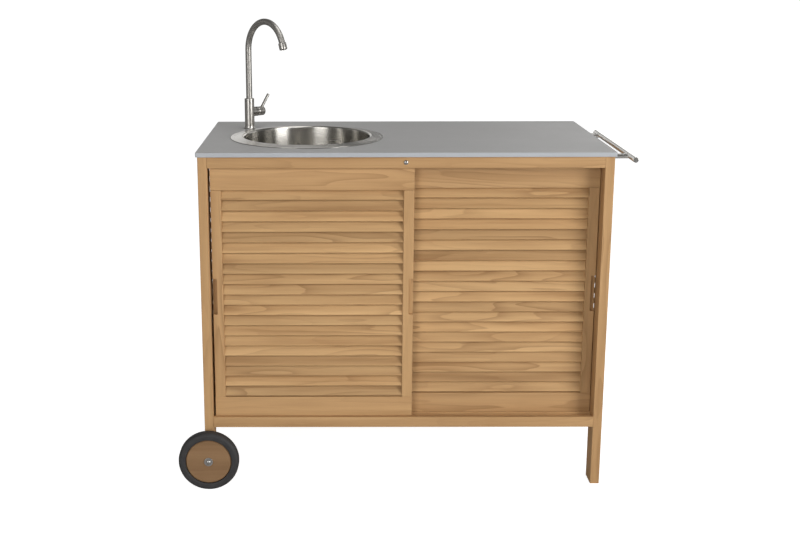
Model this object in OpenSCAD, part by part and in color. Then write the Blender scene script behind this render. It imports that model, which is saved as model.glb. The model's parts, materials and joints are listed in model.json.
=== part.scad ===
// Outdoor kitchen unit: a teak cabinet with louvred sliding doors, on two wheels and two legs,
// with a stone-grey worktop, a round inset sink, a swivel tap and a push bar. Millimetres.
// Origin: on the floor, under the middle of the worktop. +X is right, +Y is back, +Z is up.

/* [Worktop] */
// Width of the worktop, side to side
top_w = 1100; // [1040:10:1300]
// Depth of the worktop, front to back
top_d = 600; // [580:10:700]
// Thickness of the worktop slab
top_t = 12; // [8:1:30]
// Height of the worktop's surface above the floor
top_h = 930; // [900:5:980]
// Overhang of the worktop past the frame on every side
top_overhang = 5; // [1:1:15]
// Radius of the worktop's corners
top_corner_r = 5; // [2:1:20]

/* [Frame] */
// Thickness of the frame stock, which is also a post's width
stock_t = 25; // [22:1:32]
// Depth of a post, front to back
post_d = 60; // [50:1:70]
// Height of the head rail, the sill and the other top rails
rail_h = 30; // [28:1:40]
// Height of the sill's underside above the floor
sill_z = 167; // [150:1:200]
// Height of the bottom rails at the sides and the back
base_rail_h = 50; // [40:1:80]
// Width of the upright in the middle of the back
mullion_w = 40; // [30:1:60]
// Radius of the eased edges of the frame timber
edge_r = 2; // [0.5:0.5:4]
// Length of the tenons
tenon_len = 18; // [10:1:20]
// Thickness of the tenons
tenon_t = 10; // [6:1:12]
// Shoulder above and below each tenon
tenon_shoulder = 5; // [3:1:8]
// Clearance round a tenon, and at a slat's housing
joint_clear = 0.1; // [0.05:0.05:0.3]

/* [Louvres] */
// Least spacing of the slats
slat_pitch = 28.8; // [27:0.1:34]
// Width of a slat
slat_w = 29; // [26:0.5:29]
// Thickness of a slat
slat_t = 7; // [5:0.5:7]
// Tilt of a slat from level, with its outer edge low
slat_tilt = 60; // [58:1:61]
// Radius of a slat's long edges
slat_edge_r = 1.5; // [0.5:0.5:2.5]
// Depth of the housings that hold the slats' ends
housing_depth = 8; // [4:1:10]

/* [Doors] */
// Thickness of a door
door_t = 22; // [22:1:28]
// Width of a door's stiles
stile_w = 28; // [26:1:60]
// Height of a door's top rail
door_top_rail_h = 67; // [50:1:90]
// Height of a door's bottom rail
door_bottom_rail_h = 59.5; // [50:0.5:90]
// Overlap of the closed doors in the middle
door_overlap = 43.5; // [30:0.5:80]
// Gap between the closed left door and its post
left_door_gap = 5.5; // [1:0.5:12]
// Gap between the closed right door and its post
right_door_gap = 2; // [1:0.5:12]
// Play between a door and each wall of its groove
door_play = 1; // [0.5:0.1:2]
// Thickness of the wood in front of the front groove
track_front_lip = 12; // [9:1:18]
// Thickness of the wood between the two grooves
track_mid_lip = 6; // [4:1:12]
// Thickness of the wood behind the rear groove
track_rear_lip = 9; // [6:1:18]
// Depth of the grooves in the head rail
head_groove_depth = 11; // [9:0.5:11]
// Depth of the grooves in the sill
sill_groove_depth = 10; // [8:0.5:12]
// How far a door reaches up into the head rail
door_head_engage = 6; // [4:0.5:8]
// Height of a door's underside above the floor of its groove
door_stand = 4.5; // [3:0.5:5]
// Running gap under a glide
glide_clear = 0.2; // [0.1:0.1:0.4]
// Length of a glide
glide_len = 40; // [20:1:60]
// Width of a glide
glide_w = 10; // [6:1:14]
// Depth to which a glide is let into the door
glide_let_in = 8; // [5:1:15]
// Distance from a door's side to the middle of its glide
glide_inset = 80; // [70:1:140]
// Width of a finger pull, in from the door's side
pull_w = 12; // [8:1:16]
// Height of a finger pull
pull_h = 100; // [60:1:140]
// Depth of a finger pull
pull_depth = 10; // [6:1:14]
// Radius of a finger pull's corners
pull_r = 3; // [1:0.5:3.5]
// Height of the middle of the finger pulls above the floor
pull_z = 536; // [450:1:620]

/* [Floor] */
// Thickness of the floor boards
floor_t = 12; // [8:1:15]
// Number of floor boards
floor_n = 7; // [5:1:9]
// Gap between floor boards
floor_gap = 8; // [4:1:15]
// Gap at the ends of the floor boards
floor_end_gap = 0.5; // [0.2:0.1:0.9]

/* [Sink] */
// Distance of the sink's middle from the worktop's left edge
sink_inset_x = 284; // [270:1:330]
// Distance of the sink's middle from the worktop's front edge
sink_inset_y = 281; // [275:1:320]
// Outside diameter of the sink's rim
rim_d = 430; // [420:1:440]
// Inside diameter of the bowl
bowl_d = 355; // [340:1:365]
// Depth of the bowl below the worktop's surface
bowl_depth = 155; // [120:1:200]
// Radius between the bowl's wall and its floor
bowl_corner_r = 45; // [20:1:60]
// Thickness of the sink's steel
sink_wall = 1; // [0.8:0.1:1.5]
// Radius over which the bowl's wall turns into the rim
bowl_lip_r = 6; // [3:0.5:8]
// Height of the rim's crown above its outer edge
rim_rise = 3.5; // [2:0.5:6]
// Width of the flat outer edge of the rim
rim_land = 8; // [6:1:10]
// Thickness of the seal under the rim
seal_t = 0.8; // [0.5:0.1:2]
// Diameter of the worktop's cut-out
cutout_d = 400; // [394:1:404]
// Width of a clip
clip_w = 16; // [10:1:25]
// Thickness of a clip
clip_t = 3; // [2:0.5:4]
// Height of a clip's leg below the worktop
clip_leg = 28; // [15:1:40]
// How far a clip's foot reaches under the worktop
clip_reach = 22; // [12:1:25]
// Direction of the first of the four clips, from +X towards +Y
clip_turn = 33; // [28:1:38]

/* [Waste] */
// Diameter of the hole in the bowl's floor
waste_hole_d = 90; // [86:1:94]
// Diameter of the waste's flange
waste_flange_d = 112; // [104:1:120]
// Thickness of the waste's flange and of its walls
waste_t = 1.5; // [1:0.1:2]
// Gap between the waste's cup and the hole
waste_cup_clear = 1; // [0.5:0.1:1.5]
// Depth of the waste's cup
cup_depth = 46; // [42:1:60]
// Thickness of the rubber rings above and below the bowl's floor
waste_seal_t = 1.5; // [1:0.1:3]
// Height of the ring nut under the bowl
ring_nut_h = 12; // [8:1:16]
// Width of the ring nut's rim
ring_nut_rim = 11; // [8:1:14]
// Outside diameter of the waste's threaded neck
neck_d = 48; // [46:1:50]
// Length of the waste's threaded neck
neck_len = 22; // [15:1:30]
// Outside diameter of the tail pipe
tail_d = 40; // [36:1:41]
// Length of the tail pipe that shows below its nut
tail_len = 55; // [40:1:80]
// Width across the corners of the tail nut
tail_nut_d = 62; // [60:1:70]
// Diameter of the strainer basket
basket_d = 78; // [70:1:80]
// Height of the strainer basket's wall
basket_h = 30; // [20:1:34]
// Thickness of the strainer basket's steel
basket_t = 1; // [0.8:0.1:1.5]
// Diameter of the strainer's holes
basket_hole_d = 5; // [3:0.5:6]
// Number of holes in the strainer's outer ring
basket_hole_n = 14; // [8:2:16]
// Diameter of the knob on the strainer
basket_knob_d = 16; // [12:1:20]

/* [Tap] */
// Gap between the sink's rim and the tap's foot
tap_gap = 7.3; // [3:0.1:12]
// Direction of the tap, seen from the sink's middle, from +X towards +Y
tap_bearing = 136.5; // [120:0.5:150]
// Diameter of the tap's flared foot
tap_foot_d = 35; // [33:1:40]
// Height of the flare of the tap's foot
tap_foot_h = 9; // [5:1:15]
// Diameter of the tap's body
tap_body_d = 28.5; // [27.5:0.5:31]
// Height of the tap's body above the worktop
tap_body_h = 90; // [86:1:110]
// Diameter of the tap's shank through the worktop
shank_d = 24; // [23:1:26]
// Length of the shank below the worktop
shank_len = 48; // [35:1:70]
// Clearance round the shank in the worktop
shank_clear = 1; // [0.5:0.5:2]
// Diameter of the two water inlets in the shank
inlet_d = 8; // [6:1:8]
// Depth of the water inlets
inlet_len = 14; // [10:1:20]
// Spacing of the water inlets
inlet_gap = 11; // [10:0.5:12]
// Diameter of the spout's tube
spout_d = 18; // [16:1:20]
// Thickness of the spout's wall
spout_wall = 1.5; // [1:0.1:2]
// Height above the worktop at which the spout starts to bend
spout_rise = 232; // [180:1:300]
// Radius of the spout's bend, to the middle of the tube
spout_r = 84; // [60:1:110]
// Angle of the spout's bend
spout_bend = 160; // [140:1:175]
// Length of the spout inside the body
spout_socket = 24; // [15:1:26]
// Direction of the spout at rest, from +X towards +Y
spout_turn = -50; // [-80:1:-20]
// Running clearance round the spout and the spindle
run_clear = 0.05; // [0.02:0.01:0.08]
// Diameter of the aerator
aerator_d = 23; // [22:0.5:26]
// Length of the aerator
aerator_len = 20; // [18:1:28]
// Height of the lever's axis above the worktop
lever_h = 49.5; // [48:0.5:54]
// Direction of the lever's housing, from +X towards +Y
lever_turn = 41; // [20:1:60]
// Diameter of the fixed collar of the lever's housing
collar_d = 28; // [27.6:0.1:28.4]
// Distance from the tap's axis to the middle of the lever's ball
ball_reach = 31.5; // [31.5:0.5:36]
// Diameter of the lever's cap, and of the ball that it turns on
cap_d = 27; // [26:0.1:27.2]
// Clearance between the cap and its seat
cap_clear = 0.25; // [0.2:0.05:0.35]
// Length of the cap past the middle of its ball
cap_len = 20.7; // [16:0.1:26]
// Thickness of the cap's wall
cap_wall = 1.5; // [1.2:0.1:1.8]
// Radius of the cap's rounded end
cap_end_r = 5; // [2:0.5:7]
// Greatest tilt of the lever
lever_lift = 22; // [15:1:22]
// Diameter of the lever's pin
pin_d = 8.5; // [6:0.5:9]
// Length of the pin past the cap
pin_len = 46; // [25:1:60]
// Lean of the pin from upright, away from the tap
pin_lean = 35; // [30:1:45]
// Distance from the middle of the lever's ball to the line of the pin, away from the tap
pin_out = 6; // [0:0.5:6]
// Diameter of the cross pin inside the cap
cross_pin_d = 3; // [2.5:0.5:3.5]
// Diameter of the spindle's eye
eye_d = 10; // [8:0.5:11]
// Diameter of the spindle
spindle_d = 5; // [4:0.5:6]

/* [Wheels] */
// Diameter of a wheel
wheel_d = 165; // [150:1:180]
// Width of a tyre
tyre_w = 32; // [28:1:36]
// Diameter of a wheel's disc
disc_d = 125; // [110:1:130]
// Thickness of a wheel's disc
disc_t = 26; // [22:1:27]
// Chamfer on the edges of a wheel's disc
disc_chamfer = 3; // [1:0.5:4]
// Gap between a post and a tyre
wheel_gap = 9; // [6:0.5:14]
// Length of the post below the axle
axle_cover = 35; // [25:1:60]
// Outside diameter of a wheel's bush
bush_d = 18; // [16:1:20]
// Diameter of the axle bolt's shoulder, on which the wheel turns
shoulder_d = 10; // [10:0.5:11]
// Diameter of the axle bolt's thread
axle_thread_d = 8; // [7:0.5:9]
// Diameter of the axle's washers
washer_d = 24; // [22:1:28]
// Thickness of the axle's washers
washer_t = 1.6; // [1:0.1:2.5]
// Diameter of the axle bolt's domed head
axle_head_d = 13; // [12:0.5:16]
// Height of the axle bolt's domed head
axle_head_h = 4.5; // [3:0.5:6]
// Width of the axle's nut across its flats
axle_nut_af = 13; // [13:1:17]
// End play of a wheel on its bolt, on each side
wheel_play = 0.2; // [0.1:0.05:0.4]

/* [Push bar] */
// Diameter of the bar
bar_d = 15; // [14.5:0.5:16]
// Length of the bar
bar_len = 508; // [440:1:560]
// Distance from the frame's side to the middle of the bar
bar_reach = 64; // [45:1:80]
// Depth of the bar's middle below the frame's top
bar_drop = 16; // [15:1:19]
// Diameter of the posts that carry the bar
standoff_d = 14; // [12:0.5:14]
// Distance between the posts that carry the bar
standoff_gap = 372; // [300:1:400]

/* [Bolts] */
// Diameter of the frame bolts
bolt_d = 6; // [5:0.5:6]
// Diameter of a bolt's head
bolt_head_d = 12.5; // [11:0.5:14]
// Height of a bolt's head
bolt_head_h = 3.5; // [2.5:0.5:4]
// Width of the key hole in a bolt's head
bolt_key = 4; // [3:0.5:5]
// Depth of the end bolts below the frame's top
bolt_drop = 11; // [10:0.5:12]
// Depth of the middle bolts below the frame's top
mid_bolt_drop = 14.5; // [11:0.5:15]
// Height of the bottom bolts above the sill's underside
bolt_rise = 10; // [8:0.5:11]
// Diameter of a cross nut
nut_d = 10; // [9:0.5:12]
// Length of a cross nut
nut_len = 10; // [8:0.5:10]
// Distance from a rail's end to its cross nut
nut_inset = 20; // [16:1:30]
// Clearance round the bolts and the nuts
bolt_clear = 0.1; // [0.05:0.05:0.3]

/* [Hidden] */
$fn = 72;
cut = 1;
arc_steps = 8;

// Small chamfer on turned and threaded pieces, gap under a seated piece, and wood left beyond a bolt
ease = 0.5;
seat_gap = 0.3;
bolt_wood = 2;

// Frame planes
x_out = top_w / 2 - top_overhang;
x_in = x_out - stock_t;
y_front = -top_d / 2 + top_overhang;
y_back = -y_front;
y_rear_rail = y_back - stock_t;
frame_top = top_h - top_t;
head_z = frame_top - rail_h;
sill_top = sill_z + rail_h;
base_top = sill_z + base_rail_h;
post_y = y_back - post_d;
rear_mid = y_back - stock_t / 2;
side_mid = x_out - stock_t / 2;

// Door grooves and doors
groove_w = door_t + 2 * door_play;
groove_front = y_front + track_front_lip;
groove_rear = groove_front + groove_w + track_mid_lip;
track_back = groove_rear + groove_w + track_rear_lip;
sill_floor = sill_top - sill_groove_depth;
door_z = sill_floor + door_stand;
door_top = head_z + door_head_engage;
door_w = x_in + (door_overlap - left_door_gap - right_door_gap) / 2;
left_door_x = -x_in + left_door_gap;
right_door_x = x_in - right_door_gap - door_w;
left_door_y = groove_front + door_play;
right_door_y = groove_rear + door_play;
louvre_z = door_z + door_bottom_rail_h;
louvre_top = door_top - door_top_rail_h;

// Sink and waste levels
clip_n = 4;
tail_nut_floor = 4;
sink_x = -top_w / 2 + sink_inset_x;
sink_y = -top_d / 2 + sink_inset_y;
rim_z = top_h + seal_t;
crown_z = rim_z + rim_rise;
bowl_floor = top_h - bowl_depth;
flange_z = bowl_floor + waste_seal_t;
cup_r = waste_hole_d / 2 - waste_cup_clear;
cup_floor = flange_z - cup_depth;
neck_end = cup_floor - neck_len;
tail_nut_z = neck_end - tail_nut_floor;
tail_nut_h = cup_floor - waste_t - ease - tail_nut_z;
tail_end = neck_end - tail_len;
ring_nut_top = bowl_floor - sink_wall - waste_seal_t;

// Tap: foot_edge is the upright edge of its foot, and nest is the depth to which the shank goes in
foot_edge = 1.5;
nest = 12;
channel_r = 3;
shank_neck_r = shank_d / 2 - channel_r;
chamber_r = 9;
chamber_back = -9.5;
chamber_front = -8;
spindle_guide_r = 4.8;
guide_len = 3;
lever_front = 4;
tap_reach = rim_d / 2 + tap_gap + tap_foot_d / 2;
tap_x = sink_x + tap_reach * cos(tap_bearing);
tap_y = sink_y + tap_reach * sin(tap_bearing);
ball_r = cap_d / 2;
seat_r = ball_r + cap_clear;
collar_end = -3.5;
cap_rim = -ball_r * sin(16 + lever_lift);
pin_root = ball_r - 2 * ease;
spout_foot = tap_body_h - spout_socket + seat_gap;
spigot_len = 5;
channel_lap = 2;

// Wheels: key is the rib inside a tyre that keeps it on its disc
key_w = 6;
key_h = 3;
tyre_shoulder = 10;
axle_nut_h = 6.5;
axle_z = wheel_d / 2;
axle_x = -side_mid;
wheel_mid = wheel_gap + tyre_w / 2;
bush_in = washer_t + wheel_play;
bush_out = wheel_mid + disc_t / 2 + wheel_play;
head_seat = bush_out + wheel_play + washer_t;

// Bolt levels
bolt_high = frame_top - bolt_drop;
bolt_mid = frame_top - mid_bolt_drop;
bolt_low = sill_z + bolt_rise;
post_mid = y_front + post_d / 2;
end_bolts = [[post_mid, bolt_high], [post_mid, bolt_low], [rear_mid, bolt_high], [rear_mid, bolt_low]];
bolt_tip = nut_d / 2 + bolt_wood;
bar_z = frame_top - bar_drop;
bar_bolt_len = stock_t + 16;
bar_groove = 6;
mullion_tenon = min(tenon_len, rail_h - mid_bolt_drop - bolt_d / 2 - bolt_wood);

TEAK = [0.66, 0.49, 0.31];
TEAK_LIGHT = [0.74, 0.57, 0.38];
TEAK_DARK = [0.50, 0.37, 0.25];
STONE = [0.60, 0.60, 0.60];
STEEL = [0.72, 0.71, 0.69];
RUBBER = [0.16, 0.16, 0.16];
NYLON = [0.88, 0.88, 0.84];

// Points on an arc from angle a to angle b about a middle point
function arc(mid, r, a, b, n = arc_steps) =
    [for (i = [0:n]) mid + r * [cos(a + (b - a) * i / n), sin(a + (b - a) * i / n)]];

// Points of a domed head from its edge to its middle, for a base at height z
function dome(r, h, z = 0) =
    [for (i = [0:arc_steps]) [r * cos(90 * i / arc_steps), z + h * sin(90 * i / arc_steps)]];

// Outline of a rectangle about the origin with rounded corners
function soft_rect(w, h, r, n = 2) = concat(
    arc([w / 2 - r, h / 2 - r], r, 0, 90, n),
    arc([-w / 2 + r, h / 2 - r], r, 90, 180, n),
    arc([-w / 2 + r, -h / 2 + r], r, 180, 270, n),
    arc([w / 2 - r, -h / 2 + r], r, 270, 360, n));

// Number of slats in an opening, which they fill evenly, and the height of the middle of slat i
function slat_n(z0, z1) = floor((z1 - z0) / slat_pitch + 0.001);
function slat_z(z0, z1, i) = z0 + (z1 - z0) * (i + 0.5) / slat_n(z0, z1);

// Height of the mortise for a rail that runs from z[0] to z[1]
function mortise_h(z) = z[1] - z[0] - 2 * tenon_shoulder + 2 * joint_clear;

// Box between two corners
module box(lo, hi) {
    translate(lo) cube(hi - lo);
}

// Timber between two corners, its long edges eased, running along X, Y or Z
module timber_x(lo, hi, r = edge_r) {
    translate([lo.x, (lo.y + hi.y) / 2, (lo.z + hi.z) / 2])
        rotate([90, 0, 90])
            linear_extrude(hi.x - lo.x)
                polygon(soft_rect(hi.y - lo.y, hi.z - lo.z, r));
}

module timber_y(lo, hi, r = edge_r) {
    translate([(lo.x + hi.x) / 2, lo.y, (lo.z + hi.z) / 2])
        rotate([-90, 0, 0])
            linear_extrude(hi.y - lo.y)
                polygon(soft_rect(hi.x - lo.x, hi.z - lo.z, r));
}

module timber_z(lo, hi, r = edge_r) {
    translate([(lo.x + hi.x) / 2, (lo.y + hi.y) / 2, lo.z])
        linear_extrude(hi.z - lo.z)
            polygon(soft_rect(hi.x - lo.x, hi.y - lo.y, r));
}

// Plain rod along X or Y from a point
module rod_x(at, r, len) {
    translate(at) rotate([0, 90, 0]) cylinder(r = r, h = len);
}

module rod_y(at, r, len) {
    translate(at) rotate([-90, 0, 0]) cylinder(r = r, h = len);
}

// Slats of one opening. They run along X or Y; lean is 1 or -1 and sets the low side.
module slats_x(x0, x1, y, z0, z1, lean) {
    for (i = [0:slat_n(z0, z1) - 1])
        translate([x0, y, slat_z(z0, z1, i)])
            rotate([90, 0, 90])
                linear_extrude(x1 - x0)
                    rotate(lean * slat_tilt)
                        polygon(soft_rect(slat_w, slat_t, slat_edge_r));
}

module slats_y(y0, y1, x, z0, z1, lean) {
    for (i = [0:slat_n(z0, z1) - 1])
        translate([x, y1, slat_z(z0, z1, i)])
            rotate([90, 0, 0])
                linear_extrude(y1 - y0)
                    rotate(lean * slat_tilt)
                        polygon(soft_rect(slat_w, slat_t, slat_edge_r));
}

// Housings that take the ends of such slats
module housings_x(x0, x1, y, z0, z1, lean) {
    for (i = [0:slat_n(z0, z1) - 1])
        translate([(x0 + x1) / 2, y, slat_z(z0, z1, i)])
            rotate([lean * slat_tilt, 0, 0])
                cube([x1 - x0, slat_w + 2 * joint_clear, slat_t + 2 * joint_clear], center = true);
}

module housings_y(y0, y1, x, z0, z1, lean) {
    for (i = [0:slat_n(z0, z1) - 1])
        translate([x, (y0 + y1) / 2, slat_z(z0, z1, i)])
            rotate([0, -lean * slat_tilt, 0])
                cube([slat_w + 2 * joint_clear, y1 - y0, slat_t + 2 * joint_clear], center = true);
}

// Bolt with a domed head and a hexagonal key hole; the shank runs along +Z from the head's seat
module dome_bolt(d, len, head_d, head_h, key) {
    difference() {
        rotate_extrude()
            polygon(concat(
                [[0, len], [d / 2 - ease, len], [d / 2, len - ease], [d / 2, 0]],
                dome(head_d / 2, -head_h)));
        translate([0, 0, -head_h - cut])
            cylinder(r = key / sqrt(3), h = cut + 0.65 * head_h, $fn = 6);
    }
}

// Worktop

module worktop() {
    color(STONE)
        difference() {
            timber_z([-top_w / 2, -top_d / 2, frame_top], [top_w / 2, top_d / 2, top_h], top_corner_r);
            translate([sink_x, sink_y, frame_top - cut]) cylinder(d = cutout_d, h = top_t + 2 * cut);
            translate([tap_x, tap_y, frame_top - cut])
                cylinder(r = shank_d / 2 + shank_clear, h = top_t + 2 * cut);
        }
}

// Frame

// Holes for the bolts that run along X through a post and into a rail's end
module end_bolt_holes(y, z) {
    near = x_in - nut_inset - bolt_tip;
    for (x = [-x_out - cut, near])
        rod_x([x, y, z], bolt_d / 2 + bolt_clear, x_out + cut - near);
}

// Holes for the cross nuts of those bolts, bored from the rail's top or from its underside
module end_nut_holes(y, z, from_z) {
    for (s = [-1, 1])
        nut_hole(s * (x_in - nut_inset), y, z, from_z);
}

module nut_hole(x, y, z, from_z) {
    far = from_z > z ? z - nut_len / 2 : z + nut_len / 2;
    low = min(far, from_z - cut);
    high = max(far, from_z + cut);
    translate([x, y, low]) cylinder(r = nut_d / 2 + bolt_clear, h = high - low);
}

// One post; sx and sy are -1 or 1 for left or right and front or rear
module post(sx, sy) {
    foot = sx < 0 ? axle_z - axle_cover : 0;
    x0 = sx < 0 ? -x_out : x_in;
    y0 = sy < 0 ? y_front : post_y;
    inner_y = sy * post_y;
    difference() {
        timber_z([x0, y0, foot], [x0 + stock_t, y0 + post_d, frame_top]);
        housings_y(inner_y - (sy < 0 ? housing_depth : cut), inner_y + (sy < 0 ? cut : housing_depth),
            sx * side_mid, base_top, head_z, -sx);
        for (z = [[head_z, frame_top], [sill_z, base_top]])
            translate([sx * side_mid, inner_y + sy * tenon_len / 2, (z[0] + z[1]) / 2])
                cube([tenon_t + 2 * joint_clear, tenon_len + 2 * joint_clear, mortise_h(z)], center = true);
        if (sy < 0)
            for (z = [bolt_high, bolt_low])
                end_bolt_holes(post_mid, z);
        if (sy > 0) {
            for (z = [bolt_high, bolt_low])
                end_bolt_holes(rear_mid, z);
            housings_x(sx * x_in - (sx < 0 ? housing_depth : cut), sx * x_in + (sx < 0 ? cut : housing_depth),
                rear_mid, base_top, head_z, -1);
        }
        if (sx < 0)
            rod_y([axle_x, y0 - cut, axle_z], axle_thread_d / 2 + bolt_clear, post_d + 2 * cut);
    }
}

module post_front_left() {
    color(TEAK) post(-1, -1);
}

module post_front_right() {
    color(TEAK) post(1, -1);
}

module post_rear_left() {
    color(TEAK) post(-1, 1);
}

module post_rear_right() {
    color(TEAK) post(1, 1);
}

// The two grooves in which the doors run, cut from z0 to z1
module door_grooves(z0, z1) {
    for (y = [groove_front, groove_rear])
        box([-x_in - cut, y, z0], [x_in + cut, y + groove_w, z1]);
}

module head_rail() {
    color(TEAK)
        difference() {
            timber_x([-x_in, y_front, head_z], [x_in, track_back, frame_top]);
            door_grooves(head_z - cut, head_z + head_groove_depth);
            end_bolt_holes(post_mid, bolt_high);
            end_nut_holes(post_mid, bolt_high, frame_top);
            rod_y([0, y_front - cut, bolt_mid], bolt_d / 2 + bolt_clear, track_back - y_front + 2 * cut);
        }
}

module sill_rail() {
    color(TEAK)
        difference() {
            timber_x([-x_in, y_front, sill_z], [x_in, track_back, sill_top]);
            door_grooves(sill_floor, sill_top + cut);
            end_bolt_holes(post_mid, bolt_low);
            end_nut_holes(post_mid, bolt_low, sill_z);
        }
}

// Mortise in a back rail for the tenon of the upright
module mullion_mortise(z0, z1) {
    w = mullion_w - 2 * tenon_shoulder + 2 * joint_clear;
    half = tenon_t / 2 + joint_clear;
    box([-w / 2, rear_mid - half, z0], [w / 2, rear_mid + half, z1]);
}

module rear_top_rail() {
    color(TEAK)
        difference() {
            timber_x([-x_in, y_rear_rail, head_z], [x_in, y_back, frame_top]);
            end_bolt_holes(rear_mid, bolt_high);
            end_nut_holes(rear_mid, bolt_high, frame_top);
            rod_y([0, y_rear_rail - cut, bolt_mid], bolt_d / 2 + bolt_clear, stock_t + 2 * cut);
            mullion_mortise(head_z - cut, head_z + mullion_tenon + joint_clear);
        }
}

module rear_bottom_rail() {
    color(TEAK)
        difference() {
            timber_x([-x_in, y_rear_rail, sill_z], [x_in, y_back, base_top]);
            end_bolt_holes(rear_mid, bolt_low);
            end_nut_holes(rear_mid, bolt_low, sill_z);
            mullion_mortise(base_top - mullion_tenon - joint_clear, base_top + cut);
        }
}

// Its tenons stop short of the bolt that crosses the top rail
module back_mullion() {
    w = mullion_w - 2 * tenon_shoulder;
    color(TEAK)
        difference() {
            union() {
                timber_z([-mullion_w / 2, y_rear_rail, base_top], [mullion_w / 2, y_back, head_z]);
                box([-w / 2, rear_mid - tenon_t / 2, base_top - mullion_tenon],
                    [w / 2, rear_mid + tenon_t / 2, head_z + mullion_tenon]);
            }
            for (s = [-1, 1])
                housings_x(s * mullion_w / 2 - (s < 0 ? cut : housing_depth),
                    s * mullion_w / 2 + (s < 0 ? housing_depth : cut), rear_mid, base_top, head_z, -1);
        }
}

// One side rail with a tenon at each end, and the holes for the push bar's bolts if it has them
module side_rail(sx, z0, z1, bar_holes) {
    tenon_z = [z0 + tenon_shoulder, z1 - tenon_shoulder];
    difference() {
        union() {
            timber_y([sx * side_mid - stock_t / 2, -post_y, z0], [sx * side_mid + stock_t / 2, post_y, z1]);
            box([sx * side_mid - tenon_t / 2, -post_y - tenon_len, tenon_z[0]],
                [sx * side_mid + tenon_t / 2, post_y + tenon_len, tenon_z[1]]);
        }
        if (bar_holes)
            for (s = [-1, 1])
                rod_x([x_in - cut, s * standoff_gap / 2, bar_z], bolt_d / 2 + bolt_clear, stock_t + 2 * cut);
    }
}

module side_rails() {
    color(TEAK)
        for (s = [-1, 1]) {
            side_rail(s, head_z, frame_top, s > 0);
            side_rail(s, sill_z, base_top, false);
        }
}

module side_slats(sx) {
    reach = post_y + housing_depth - joint_clear;
    slats_y(-reach, reach, sx * side_mid, base_top, head_z, -sx);
}

module left_side_slats() {
    color(TEAK_LIGHT) side_slats(-1);
}

module right_side_slats() {
    color(TEAK_LIGHT) side_slats(1);
}

module back_slats() {
    let_in = housing_depth - joint_clear;
    color(TEAK_LIGHT)
        for (s = [-1, 1]) {
            near = mullion_w / 2 - let_in;
            far = x_in + let_in;
            slats_x(s > 0 ? near : -far, s > 0 ? far : -near, rear_mid, base_top, head_z, -1);
        }
}

module centre_bearer() {
    color(TEAK)
        difference() {
            timber_y([-stock_t / 2, track_back, head_z], [stock_t / 2, y_rear_rail, frame_top]);
            rod_y([0, track_back - cut, bolt_mid], bolt_d / 2 + bolt_clear, nut_inset + bolt_tip + cut);
            rod_y([0, y_rear_rail - nut_inset - bolt_tip, bolt_mid],
                bolt_d / 2 + bolt_clear, nut_inset + bolt_tip + cut);
            nut_hole(0, track_back + nut_inset, bolt_mid, frame_top);
            nut_hole(0, y_rear_rail - nut_inset, bolt_mid, frame_top);
        }
}

module floor_bearers() {
    half = stock_t / 2;
    color(TEAK)
        for (x = [half - x_in, 0, x_in - half])
            timber_y([x - half, track_back, sill_z], [x + half, y_rear_rail, sill_top - floor_t]);
}

module floor_boards() {
    span = y_rear_rail - track_back;
    board = (span - floor_gap * (floor_n - 1) - 2 * floor_end_gap) / floor_n;
    end = x_in - floor_end_gap;
    color(TEAK_LIGHT)
        for (i = [0:floor_n - 1]) {
            y = track_back + floor_end_gap + i * (board + floor_gap);
            timber_x([-end, y, sill_top - floor_t], [end, y + board, sill_top]);
        }
}

// Frame bolt, and a cross nut whose thread runs along X or Y
module frame_bolt(len) {
    dome_bolt(bolt_d, len, bolt_head_d, bolt_head_h, bolt_key);
}

module cross_nut(at, turn) {
    translate(at)
        difference() {
            cylinder(d = nut_d, h = nut_len, center = true);
            rotate([0, 0, turn]) rod_x([-nut_d, 0, 0], bolt_d / 2 + bolt_clear / 2, 2 * nut_d);
        }
}

module frame_bolts() {
    len = stock_t + nut_inset + bolt_tip - cut;
    color(STEEL) {
        for (s = [-1, 1], p = end_bolts)
            translate([s * x_out, p[0], p[1]]) rotate([0, -s * 90, 0]) frame_bolt(len);
        translate([0, y_front, bolt_mid])
            rotate([-90, 0, 0]) frame_bolt(track_back - y_front + len - stock_t);
        translate([0, y_back, bolt_mid]) rotate([90, 0, 0]) frame_bolt(len);
        for (s = [-1, 1])
            translate([x_in, s * standoff_gap / 2, bar_z]) rotate([0, 90, 0]) frame_bolt(bar_bolt_len);
    }
}

module cross_nuts() {
    color(STEEL) {
        for (s = [-1, 1], p = end_bolts)
            cross_nut([s * (x_in - nut_inset), p[0], p[1]], 0);
        cross_nut([0, track_back + nut_inset, bolt_mid], 90);
        cross_nut([0, y_rear_rail - nut_inset, bolt_mid], 90);
    }
}

// Doors

// Finger pull cut into the outer edge of a stile, whose outer side is at x
module finger_pull(x, y, side) {
    x0 = side < 0 ? x - pull_r - cut : x - pull_w;
    translate([x0 + (pull_w + pull_r + cut) / 2, y + pull_depth, pull_z])
        rotate([90, 0, 0])
            linear_extrude(pull_depth + cut)
                polygon(soft_rect(pull_w + pull_r + cut, pull_h, pull_r, 4));
}

// A stile between the rails of a door whose left side is at door_x and whose face is at door_y
module stile(door_x, door_y, side) {
    mid = door_y + door_t / 2;
    x0 = side < 0 ? door_x : door_x + door_w - stile_w;
    inner = side < 0 ? x0 + stile_w : x0;
    outer = side < 0 ? x0 : x0 + stile_w;
    difference() {
        union() {
            timber_z([x0, door_y, louvre_z], [x0 + stile_w, door_y + door_t, louvre_top]);
            box([x0 + tenon_shoulder, mid - tenon_t / 2, louvre_z - tenon_len],
                [x0 + stile_w - tenon_shoulder, mid + tenon_t / 2, louvre_top + tenon_len]);
        }
        housings_x(inner - (side < 0 ? housing_depth : cut), inner + (side < 0 ? cut : housing_depth),
            mid, louvre_z, louvre_top, 1);
        finger_pull(outer, door_y, side);
    }
}

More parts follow.
